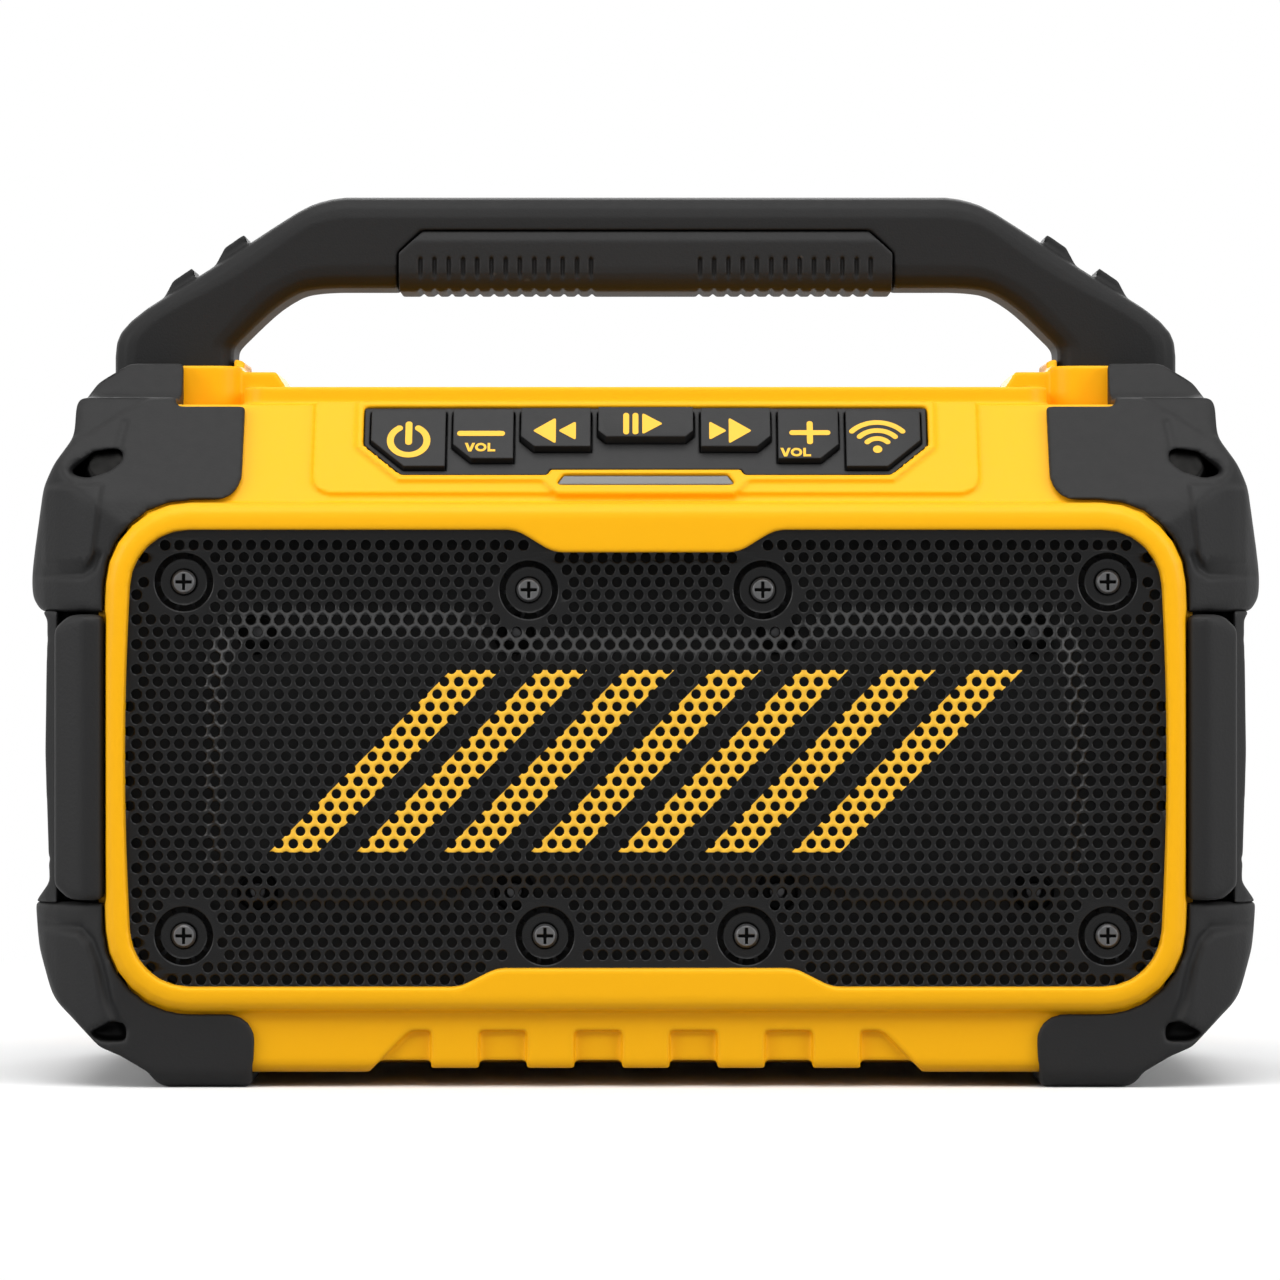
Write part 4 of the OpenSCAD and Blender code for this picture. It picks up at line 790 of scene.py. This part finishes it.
def round_corners(points, steps=6):
    """A closed outline whose corners, given as (x, z, radius), are rounded."""
    made = []
    for i, (x, z, radius) in enumerate(points):
        here = Vector((x, z))
        if not radius:
            made.append((x, z))
            continue
        before = (Vector(points[i - 1][:2]) - here).normalized()
        after = (Vector(points[(i + 1) % len(points)][:2]) - here).normalized()
        half = before.angle(after) / 2
        middle = here + (before + after).normalized() * (radius / math.sin(half))
        start = here + before * (radius / math.tan(half)) - middle
        turn = start.angle_signed(here + after * (radius / math.tan(half)) - middle)
        for k in range(steps + 1):
            angle = math.atan2(start.y, start.x) - turn * k / steps
            made.append((middle.x + radius * math.cos(angle), middle.y + radius * math.sin(angle)))
    return made


def both_sides(half):
    """The right half of an outline, listed upwards, joined with its mirror image."""
    return half + [(-x, z, r) for x, z, r in reversed(half)]


def frame_outline(width, low, high, radius, top_dip, low_dip, top_half, low_half):
    """The bowed frame outline with its trapezoid dips, in millimetres."""
    middle, side = (low + high) / 2, width / 2 - SIDE_BOW
    bow_radius = 0.6 * (middle - low) ** 2 / SIDE_BOW
    return round_corners(both_sides([
        (low_half, low + low_dip, RAMP_ROUND), (low_half + RAMP, low, RAMP_ROUND), (side, low, radius),
        (width / 2, middle, bow_radius), (side, high, radius),
        (top_half + RAMP, high, RAMP_ROUND), (top_half, high - top_dip, RAMP_ROUND)]))


def distance_to(points, path):
    """Distance of each point from an open path."""
    points, corners = np.asarray(points, float), np.asarray(path, float)
    nearest = np.full(len(points), 1e9)
    for a, b in zip(corners, corners[1:]):
        along = b - a
        share = np.clip(((points - a) @ along) / max(along @ along, 1e-12), 0, 1)
        nearest = np.minimum(nearest, np.linalg.norm(points - a - share[:, None] * along, axis=1))
    return nearest


def distance_inside(points, outline):
    """Distance of each point from an outline, positive inside it."""
    points, corners = np.asarray(points, float), np.asarray(outline, float)
    nearest = distance_to(points, np.vstack([corners, corners[:1]]))
    inside = np.zeros(len(points), bool)
    for a, b in zip(corners, np.roll(corners, -1, 0)):
        crosses = (a[1] > points[:, 1]) != (b[1] > points[:, 1])
        with np.errstate(divide="ignore", invalid="ignore"):
            reach = a[0] + (points[:, 1] - a[1]) / (b[1] - a[1]) * (b[0] - a[0])
        inside ^= crosses & (points[:, 0] < reach)
    return np.where(inside, nearest, -nearest)


def eased(share):
    """A share from 0 to 1 with soft ends."""
    share = np.clip(share, 0, 1)
    return share * share * (3 - 2 * share)


def groove(points, path, depth, width):
    """Depth of a soft groove along a path, as a relief below zero."""
    return -depth * np.exp(-(distance_to(points, path) / width) ** 2)


def upper_guard_relief(points):
    """Raised lobe pad, its lower groove and the crease under the shoulder of an upper guard."""
    pad = [(109.9, 123.4), (110.9, 115.8), (111.9, 107.9), (113.5, 105.9), (133, 105.6), (133, 122.2)]
    seam = [(135, 104.3), (114.6, 104.4), (112.6, 105.6), (111.3, 108.4)]
    shoulder = [(90, 141.3), (101.3, 140.4), (107.7, 136.8), (114.3, 132.2)]
    crease = [(106.9, 135.6), (108.1, 129.4)]
    lobe = 0.9 * eased(distance_inside(points, pad) / 1.1)
    above = [(80, 170), (80, 141.3), *shoulder, (140, 132), (140, 170)]
    step = -0.8 * eased(distance_inside(points, above) / 1.4)
    return lobe + step + groove(points, seam, 0.9, 0.7) + groove(points, crease, 0.5, 0.7)


def lower_guard_relief(points):
    """The groove that runs in under a lower guard's lobe."""
    seam = [(135, 33.7), (114.9, 32.5), (112.5, 29.9), (110.8, 25.3), (109.1, 17.8), (106.2, 11.6)]
    inner = [(135, 33.2), (115.4, 32), (113, 29.6), (111.3, 25.2), (109.6, 17.6), (106.7, 11.4), (135, 6)]
    return groove(points, seam, 0.9, 0.75) + 0.6 * eased(distance_inside(points, inner) / 1.6)


def loops_of(edges):
    """Closed loops walked along directed edges."""
    follow = dict(edges)
    loops = []
    while follow:
        start = next(iter(follow))
        loop, here = [], start
        while here in follow:
            loop.append(here)
            here = follow.pop(here)
        loops.append(loop)
    return loops


class SheetPlan:
    """Flat plan of a perforated sheet in millimetres: its points, faces, hole lips and cut edges."""

    def __init__(self, hole):
        self.hole = hole
        self.points, self.faces, self.lips, self.cuts = [], [], [], []
        self.inner = {}

    def add(self, outline):
        """The numbers of new points."""
        first = len(self.points)
        self.points += outline
        return list(range(first, len(self.points)))

    def ring(self, x, z, radius, count, start=0.0):
        """A ring of new points, listed counter-clockwise."""
        turns = [start + math.tau * k / count for k in range(count)]
        return self.add([(x + radius * math.cos(a), z + radius * math.sin(a)) for a in turns])

    def area(self, loop):
        """The area inside a loop, below zero when it runs clockwise."""
        spots = [self.points[i] for i in loop]
        return sum(a[0] * b[1] - b[0] * a[1] for a, b in zip(spots, spots[1:] + spots[:1])) / 2

    def pierce(self, x, z):
        """A round hole with an eased lip; gives the outer ring of the lip."""
        turn = math.radians(30)
        wide = self.ring(x, z, self.hole / 2 + LIP, HOLE_SIDES, turn)
        narrow = self.ring(x, z, self.hole / 2, HOLE_SIDES, turn)
        for k in range(HOLE_SIDES):
            self.lips.append((wide[k - 1], wide[k], narrow[k], narrow[k - 1]))
        self.inner.update(zip(wide, narrow))
        self.cuts.append(narrow)
        return wide

    def honeycomb(self, cells, corner):
        """Six sided cells round their holes; gives the loops that bound them."""
        known, used = {}, set()
        for x, z in cells:
            hexagon = []
            for k in range(6):
                turn = math.radians(30 + 60 * k)
                spot = (x + corner * math.cos(turn), z + corner * math.sin(turn))
                key = (round(spot[0] * 200), round(spot[1] * 200))
                if key not in known:
                    known[key] = self.add([spot])[0]
                hexagon.append(known[key])
            ring = self.pierce(x, z)
            for k in range(6):
                a, b = hexagon[k], hexagon[(k + 1) % 6]
                self.faces.append((a, b, ring[(2 * k + 2) % HOLE_SIDES], ring[2 * k + 1], ring[2 * k]))
                used.add((a, b))
        return loops_of([e for e in sorted(used) if (e[1], e[0]) not in used])

    def seat(self, x, z):
        """A dished screw seat with a slotted wall; gives its outer ring."""
        bands = [self.ring(x, z, radius, SEAT_TURNS) for radius, _ in SEAT_RINGS]
        for level, (wide, narrow) in enumerate(zip(bands, bands[1:])):
            for k in range(SEAT_TURNS):
                m = (k + 1) % SEAT_TURNS
                if level != SLOT_BAND or k % SLOT_STEP == 0:
                    self.faces.append((wide[k], wide[m], narrow[m], narrow[k]))
        for k in range(1, SEAT_TURNS, SLOT_STEP):
            arc = [(k + i) % SEAT_TURNS for i in range(SLOT_STEP)]
            wide, narrow = bands[SLOT_BAND], bands[SLOT_BAND + 1]
            self.cuts.append([wide[i] for i in arc] + [narrow[i] for i in reversed(arc)])
        self.cuts.append(bands[-1])
        return bands[0]

    def fill(self, *outlines):
        """Triangles between an outline and the outlines inside it."""
        order = [i for outline in outlines for i in outline]
        loops = [[Vector((*self.points[i], 0)) for i in outline] for outline in outlines]
        for tri in tessellate_polygon(loops):
            tri = [order[t] for t in tri]
            turn = self.area(tri)
            if abs(turn) > 1e-7:
                self.faces.append(tuple(tri if turn > 0 else reversed(tri)))

    def mesh(self, name, level):
        """The sheet as a mesh with front, back and cut edges, from the level of its front face at each point."""
        count, sunk = len(self.points), set(self.inner.values())
        front = [(x * MM, y + LIP * MM * (i in sunk), z * MM) for i, ((x, z), y) in enumerate(zip(self.points, level))]
        back = [(x * MM, y + SHEET, z * MM) for (x, z), y in zip(self.points, level)]
        skin = self.faces + self.lips
        skin += [tuple(self.inner.get(i, i) + count for i in reversed(face)) for face in self.faces]
        for cut in self.cuts:
            skin += [(a, b, b + count, a + count) for a, b in zip(cut, cut[1:] + cut[:1])]
        used = sorted({i for face in skin for i in face})
        place = {i: n for n, i in enumerate(used)}
        spots = front + back
        made = bpy.data.meshes.new(name)
        made.from_pydata([spots[i] for i in used], [], [[place[i] for i in face] for face in skin])
        made.validate()
        return made


# ---------------------------------------------------------------- key symbols


def bar(x, y, width, height):
    """A bar with round ends."""
    r = min(width, height) / 2 * 0.98
    return round_corners([(x - width / 2, y - height / 2, r), (x + width / 2, y - height / 2, r),
                          (x + width / 2, y + height / 2, r), (x - width / 2, y + height / 2, r)], 5)


def arrow(x, y, width, height):
    """A triangle that points along its width, with eased corners."""
    r = 0.25
    points = [(x, y - height / 2, r), (x + width, y, r), (x, y + height / 2, r)]
    if width < 0:
        points.reverse()
    return round_corners(points, 3)


def bow(x, y, radius, stroke, start, end):
    """A bent stroke round a centre between two angles, with round ends."""
    steps = 28
    angles = [math.radians(start + (end - start) * k / steps) for k in range(steps + 1)]

    def tip(angle, turn):
        spot = (x + radius * math.cos(angle), y + radius * math.sin(angle))
        bends = [angle + turn + math.pi * k / 8 for k in range(1, 8)]
        return [(spot[0] + stroke / 2 * math.cos(b), spot[1] + stroke / 2 * math.sin(b)) for b in bends]

    def side(reach, order):
        return [(x + reach * math.cos(a), y + reach * math.sin(a)) for a in order]

    return (side(radius + stroke / 2, angles) + tip(angles[-1], 0)
            + side(radius - stroke / 2, reversed(angles)) + tip(angles[0], math.pi))


def letters(x, y, height):
    """VOL in plain wide capitals, centred on a spot."""
    h, w, t = height, height * 0.95, height * 0.24
    low, left = y - h / 2, x - height * 1.4
    vee = [(left, low + h), (left + t * 1.1, low + h), (left + w / 2, low + t * 1.5), (left + w - t * 1.1, low + h),
           (left + w, low + h), (left + w / 2 + t * 0.6, low), (left + w / 2 - t * 0.6, low)]
    ell_left = x + height * 0.72
    ell = [(ell_left, low), (ell_left + w * 0.75, low), (ell_left + w * 0.75, low + t), (ell_left + t, low + t),
           (ell_left + t, low + h), (ell_left, low + h)]
    ring = [(x + height * 0.09 + (w * 0.56 - inset) * math.cos(a), y + (h / 2 - inset) * math.sin(a))
            for inset in (0, t) for a in (math.tau * k / 24 for k in range(24))]
    rounds = [[ring[k], ring[(k + 1) % 24], ring[24 + (k + 1) % 24], ring[24 + k]] for k in range(24)]
    return [list(reversed(vee)), ell] + rounds


def symbol_shapes(key):
    """Outlines of one key's symbol, listed counter-clockwise in panel millimetres."""
    if key == "power":
        return [bow(-48.5, 13.5, 3.76, 1.4, 121, 419), bar(-48.5, 15.4, 1.4, 6.1)]
    if key == "volume_down":
        return [bar(-33.7, 15.1, 9.8, 1.3)] + letters(-33.9, 11.5, 2.2)
    if key == "previous":
        return [arrow(-18.4, 15.6, -4.7, 6.8), arrow(-14.3, 15.6, -3.6, 4.9)]
    if key == "play":
        return [bar(-4, 17.2, 1.2, 5.6), bar(-2.1, 17.2, 1.2, 5.6), arrow(-0.7, 17.2, 4.2, 5.6)]
    if key == "next":
        return [arrow(17, 15.6, 4.7, 6.8), arrow(13, 15.6, 3.6, 4.9)]
    if key == "volume_up":
        x, y, r = 33.6, 15.3, 0.55
        arms = [(4.2, -0.62, r), (4.2, 0.62, r), (0.62, 0.62, 0), (0.62, 3, r), (-0.62, 3, r), (-0.62, 0.62, 0),
                (-4.2, 0.62, r), (-4.2, -0.62, r), (-0.62, -0.62, 0), (-0.62, -3, r), (0.62, -3, r), (0.62, -0.62, 0)]
        return [round_corners([(x + a, y + b, c) for a, b, c in arms], 3)] + letters(30.6, 10.2, 2.2)
    x, y = 47.4, 11.2
    dot = [(x + 0.95 * math.cos(math.tau * k / 20), y + 0.95 * math.sin(math.tau * k / 20)) for k in range(20)]
    return [dot, bow(x, y, 2.8, 1.15, 42, 138), bow(x, y, 4.9, 1.15, 42, 138), bow(x, y, 7, 1.15, 42, 138)]


def add_print(verts, faces, shape, level):
    """A thin raised print of an outline on the key face."""
    first, n = len(verts), len(shape)
    for height in (level - PRINT_SUNK, level + PRINT_PROUD):
        verts += [PANEL_FOOT + Vector((x * MM, 0, 0)) + PANEL_UP * (y * MM) + PANEL_OUT * (height * MM)
                  for x, y in shape]
    for tri in tessellate_polygon([[Vector((x, y, 0)) for x, y in shape]]):
        a, b, c = (shape[t] for t in tri)
        turn = (b[0] - a[0]) * (c[1] - a[1]) - (b[1] - a[1]) * (c[0] - a[0])
        tri = tri if turn > 0 else tuple(reversed(tri))
        faces.append(tuple(first + n + t for t in tri))
    area = sum(a[0] * b[1] - b[0] * a[1] for a, b in zip(shape, shape[1:] + shape[:1]))
    for k in range(n):
        m = (k + 1) % n
        side = (first + k, first + m, first + n + m, first + n + k)
        faces.append(side if area > 0 else tuple(reversed(side)))


# ---------------------------------------------------------------- operators


class SPEAKER_OT_housing(bpy.types.Operator):
    """Build the yellow housing shells with rounded edges"""

    bl_idname = "speaker.housing"
    bl_label = "Housing shells"

    def execute(self, context):
        for node in ("front_housing", "rear_housing", "rear_panel", "handle_mounts"):
            soft_copy(node, shell_finish(), sizes().shell_voxel, sizes().shell_flow, keep=0.17)
        return {"FINISHED"}


class SPEAKER_OT_rubber(bpy.types.Operator):
    """Build the rubber corner guards, side panels and edge pads"""

    bl_idname = "speaker.rubber"
    bl_label = "Rubber guards"

    def execute(self, context):
        voxel, flow, slot = sizes().rubber_voxel, sizes().rubber_flow, "black_rubber"
        for side in ("left_", "right_"):
            soft_copy(side + "upper_bumper", rubber_finish(), voxel, flow, relief=upper_guard_relief,
                      slotted=True)
            soft_copy(side + "lower_bumper", rubber_finish(), voxel, flow, relief=lower_guard_relief)
            soft_copy(side + "side_panel", rubber_finish(), voxel, flow, fit=meet_guards)
        soft_copy("edge_pads", rubber_finish(), voxel, PAD_FLOW, fit=meet_panels)
        return {"FINISHED"}


class SPEAKER_OT_handle(bpy.types.Operator):
    """Build the carrying handle, its ribbed grip and its bolts"""

    bl_idname = "speaker.handle"
    bl_label = "Handle and grip"

    def execute(self, context):
        soft_copy("handle", handle_finish(), 0.5 * MM, 6, keep=0.4)
        soft_copy("handle_grip", rubber_finish(), 0.32 * MM, 2, keep=0.4)
        moulded_copy("handle_bolts", screw_finish(), sizes().small_round)
        return {"FINISHED"}


class SPEAKER_OT_keypad(bpy.types.Operator):
    """Build the keypad surround and the seven keys"""

    bl_idname = "speaker.keypad"
    bl_label = "Keypad"

    def execute(self, context):
        moulded_copy("keypad_base", key_finish(), sizes().small_round)
        for key in KEYS:
            moulded_copy(key + "_key", key_finish(), 0.35 * MM, segments=3)
        moulded_copy("light_pipe", lens_finish(), sizes().small_round)
        return {"FINISHED"}


class SPEAKER_OT_grille(bpy.types.Operator):
    """Build the stamped grille sheet with its fine perforation and dished screw seats"""

    bl_idname = "speaker.grille"
    bl_label = "Grille"

    def execute(self, context):
        pitch, hole = sizes().pitch / MM, sizes().hole / MM
        edge, foot, head = (frame_outline(*given) for given in (SHEET_EDGE, FIELD_FOOT, FIELD_HEAD))
        seats = [(side * x, z) for side in (-1, 1) for x, z in SEATS]
        row = pitch * math.sqrt(3) / 2
        sites = [((i + (j % 2) / 2) * pitch, HOLE_MIDDLE + j * row)
                 for j in range(-HOLE_ROWS, HOLE_ROWS + 1) for i in range(-HOLE_COLUMNS, HOLE_COLUMNS + 1)]
        clear = np.min([np.hypot(*(np.array(sites) - seat).T) for seat in seats], axis=0) - SEAT_RINGS[0][0]
        room = np.minimum(distance_inside(sites, edge), clear)
        corner = pitch / math.sqrt(3)
        plan = SheetPlan(hole)
        cells = [site for site, free in zip(sites, room) if free > corner + SPARE]
        loose = [site for site, free in zip(sites, room) if hole / 2 + LIP + SPARE < free <= corner + SPARE]
        border = plan.honeycomb(cells, corner)
        rim = plan.add(edge)
        islands = [loop for loop in border if plan.area(loop) > 0]
        pockets = [list(reversed(loop)) for loop in border if plan.area(loop) < 0]
        spots = [(spot, plan.pierce(*spot)) for spot in loose] + [(seat, plan.seat(*seat)) for seat in seats]
        for pocket in pockets:
            held = distance_inside([spot for spot, _ in spots], [plan.points[i] for i in pocket]) > 0
            plan.fill(pocket, *[ring for (_, ring), here in zip(spots, held) if here])
            spots = [entry for entry, here in zip(spots, held) if not here]
        plan.fill(rim, *islands, *[ring for _, ring in spots])
        plan.cuts.append(list(reversed(rim)))
        flat = np.array(plan.points)
        down, up = distance_inside(flat, foot), distance_inside(flat, head)
        share = np.where(up > 0, 1.0, down / np.maximum(down - up, 1e-6))
        from_seat = np.min([np.hypot(*(flat - seat).T) for seat in seats], axis=0)
        level = FLANGE_Y + (FIELD_Y - FLANGE_Y) * eased(share)
        level += np.interp(from_seat, *zip(*reversed(SEAT_RINGS))) * MM
        mesh = plan.mesh("grille_sheet", level)
        piece = add_piece("grille_sheet", mesh, "housing", grille_finish(), 60)
        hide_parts("speaker_grille")
        moulded_copy("grille_screws", grille_screw_finish(), 0.2 * MM)
        return {"FINISHED"}


class SPEAKER_OT_drivers(bpy.types.Operator):
    """Finish the two loudspeaker drivers, their cloth and gaskets"""

    bl_idname = "speaker.drivers"
    bl_label = "Drivers"

    def execute(self, context):
        dress("grille_cloth", finish("acoustic_cloth", BLACK_AND_SHADE, 0.95, depth=0.5, woven=900, rim=0.1 * MM))
        dress("gaskets", finish("gasket_foam", (0.012, 0.012, 0.012), 0.95, grain=900, depth=0.4, rim=0.2 * MM))
        dress("driver_frames", finish("painted_basket", (0.014, 0.014, 0.014), 0.4, grain=1600, depth=0.12,
                                      rim=0.3 * MM, wear_and_sheen=(0.1, 0.1, 0.1), coat=0.2))
        dress("driver_magnets", finish("ferrite", (0.035, 0.034, 0.034), 0.6, grain=1100, depth=0.25, rim=0.4 * MM,
                                       wear_and_sheen=(0.1, 0.1, 0.1), clouds=0.85))
        for node in ("driver_top_plates", "driver_yokes", "board_screws"):
            dress(node, steel_finish())
        dress("driver_screws", screw_finish())
        cone = finish("pulp_cone", (0.022, 0.022, 0.023), 0.85, grain=520, depth=0.35, rim=0.3 * MM, clouds=0.8)
        cap = finish("dust_cap", (0.016, 0.016, 0.016), 0.35, grain=1400, depth=0.08, rim=0.3 * MM, coat=0.3)
        coil = finish("wound_coil", (0.72, 0.29, 0.12), 0.32, metallic=1.0, depth=0.5, woven=1600, rim=0.1 * MM)
        edge = finish("surround_rubber", (0.012, 0.012, 0.012), 0.5, grain=1500, depth=0.1, rim=0.3 * MM)
        spider = finish("spider_cloth", (0.42, 0.27, 0.1), 0.9, depth=0.5, woven=700, rim=0.2 * MM, clouds=0.85)
        for side in ("left_", "right_"):
            for node, material in (("cone", cone), ("dust_cap", cap), ("voice_coil", coil), ("surround", edge),
                                   ("spider", spider)):
                dress(side + node, material)
        return {"FINISHED"}


class SPEAKER_OT_boards(bpy.types.Operator):
    """Finish the circuit boards and what is soldered to them"""

    bl_idname = "speaker.boards"
    bl_label = "Circuit boards"

    def execute(self, context):
        for node in ("control_board", "main_board", "port_board"):
            dress(node, board_finish())
        dress("key_switches", finish("switch_body", (0.03, 0.03, 0.032), 0.4, grain=2000, depth=0.1, rim=0.15 * MM))
        dress("status_lights", finish("clear_lamp", (0.75, 0.78, 0.7), 0.2, grain=2400, depth=0.04, rim=0.1 * MM,
                                      coat=0.5))
        dress("board_capacitors", finish("capacitor_sleeve", (0.012, 0.013, 0.03), 0.3, grain=1500, depth=0.06,
                                         rim=0.3 * MM, wear_and_sheen=(0.3, 0.3, 0.3)))
        dress("amplifier_heatsink", finish("cast_aluminium", (0.62, 0.62, 0.63), 0.4, metallic=1.0, grain=1300,
                                           depth=0.15, rim=0.2 * MM, clouds=0.9))
        dress("wireless_module", finish("shield_can", (0.66, 0.65, 0.62), 0.28, metallic=1.0, grain=1000, depth=0.06,
                                        rim=0.15 * MM, clouds=0.93))
        return {"FINISHED"}


class SPEAKER_OT_rear(bpy.types.Operator):
    """Finish the battery bay, the sockets behind the flap and the rear screws"""

    bl_idname = "speaker.rear"
    bl_label = "Rear fittings"

    def execute(self, context):
        for node in ("battery_bay", "terminal_block", "port_panel", "power_jack"):
            dress(node, plastic_finish())
        dress("aux_jack", finish("nickel_socket", (0.5, 0.48, 0.44), 0.3, metallic=1.0, grain=1200, depth=0.05,
                                 rim=0.2 * MM))
        dress("terminal_blades", finish("plated_brass", (0.72, 0.6, 0.34), 0.26, metallic=1.0, grain=1000, depth=0.05,
                                        rim=0.1 * MM, clouds=0.9))
        dress("housing_screws", screw_finish())
        soft_copy("port_flap", rubber_finish(), 0.3 * MM, 3)
        dress("flap_tether", rubber_finish())
        return {"FINISHED"}


class SPEAKER_OT_symbols(bpy.types.Operator):
    """Print the yellow symbols on the keys"""

    bl_idname = "speaker.symbols"
    bl_label = "Key symbols"

    def execute(self, context):
        for key in KEYS:
            node = frame["nodes"][key + "_key"]
            level = max((v.co - PANEL_FOOT).dot(PANEL_OUT) for v in node.data.vertices) / MM
            verts, faces = [], []
            for shape in symbol_shapes(key):
                add_print(verts, faces, shape, level)
            mesh = bpy.data.meshes.new(key + "_symbol")
            mesh.from_pydata(verts, [], faces)
            mesh.validate()
            add_piece(key + "_symbol", mesh, body_of(key + "_key"), print_finish())
        return {"FINISHED"}


class SPEAKER_OT_stage(bpy.types.Operator):
    """Set the camera, the pale floor and the soft studio light"""

    bl_idname = "speaker.stage"
    bl_label = "Studio"

    def execute(self, context):
        stage = context.scene.speaker_stage
        lens = bpy.data.cameras.new("product_camera")
        lens.sensor_width = 36
        lens.lens = stage.lens
        lens.clip_start = 0.05
        lens.clip_end = 50
        camera = bpy.data.objects.new("product_camera", lens)
        camera.location = (CAMERA_X, -stage.distance, stage.height)
        camera.rotation_euler = (math.pi / 2, 0, 0)
        context.scene.collection.objects.link(camera)
        context.scene.camera = camera
        mesh = bpy.data.meshes.new("studio_floor")
        mesh.from_pydata([(-6, -3, 0), (6, -3, 0), (6, 6, 0), (-6, 6, 0)], [], [(0, 1, 2, 3)])
        mesh.materials.append(floor_finish())
        floor = bpy.data.objects.new("studio_floor", mesh)
        context.scene.collection.objects.link(floor)
        context.scene.world = studio_world(stage.sky)
        for name, place, width, power in (
                ("overhead_softbox", (0, -0.55, 1.1), 1.2, stage.key_power),
                ("left_softbox", (-1.1, -0.6, 0.5), 0.7, stage.side_power),
                ("right_softbox", (1.1, -0.6, 0.5), 0.7, stage.side_power),
                ("rear_softbox", (0, 1.2, 0.7), 0.9, stage.rear_power)):
            lamp = bpy.data.lights.new(name, "AREA")
            lamp.shape = "SQUARE"
            lamp.size = width
            lamp.energy = power
            holder = bpy.data.objects.new(name, lamp)
            holder.location = place
            holder.rotation_euler = (LAMP_AIM - Vector(place)).to_track_quat("-Z", "Y").to_euler()
            context.scene.collection.objects.link(holder)
        context.scene.view_settings.view_transform = "Standard"
        return {"FINISHED"}


STEPS = (SPEAKER_OT_housing, SPEAKER_OT_rubber, SPEAKER_OT_handle, SPEAKER_OT_keypad, SPEAKER_OT_symbols,
         SPEAKER_OT_grille, SPEAKER_OT_drivers, SPEAKER_OT_boards, SPEAKER_OT_rear, SPEAKER_OT_stage)


class SPEAKER_PT_dressing(bpy.types.Panel):
    """Settings and steps of the speaker's dressing"""

    bl_idname = "SPEAKER_PT_dressing"
    bl_label = "Jobsite speaker"
    bl_space_type = "VIEW_3D"
    bl_region_type = "UI"
    bl_category = "Speaker"

    def draw(self, context):
        for settings in ("speaker_colours", "speaker_sizes", "speaker_stage"):
            group = getattr(context.scene, settings)
            box = self.layout.box()
            for name in group.bl_rna.properties.keys():
                if name not in ("rna_type", "name"):
                    box.prop(group, name)
        for step in STEPS:
            self.layout.operator(step.bl_idname)


CLASSES = (SpeakerColours, SpeakerSizes, SpeakerStage, *STEPS, SPEAKER_PT_dressing)


def register():
    """Register the classes and hang the settings on the scene."""
    for cls in CLASSES:
        bpy.utils.register_class(cls)
    bpy.types.Scene.speaker_colours = PointerProperty(type=SpeakerColours)
    bpy.types.Scene.speaker_sizes = PointerProperty(type=SpeakerSizes)
    bpy.types.Scene.speaker_stage = PointerProperty(type=SpeakerStage)


def unregister():
    """Take the settings and classes away again."""
    del bpy.types.Scene.speaker_stage
    del bpy.types.Scene.speaker_sizes
    del bpy.types.Scene.speaker_colours
    for cls in reversed(CLASSES):
        bpy.utils.unregister_class(cls)


def main():
    """Build every piece in order."""
    register()
    for step in STEPS:
        family, name = step.bl_idname.split(".")
        getattr(getattr(bpy.ops, family), name)()


if __name__ == "__main__":
    main()
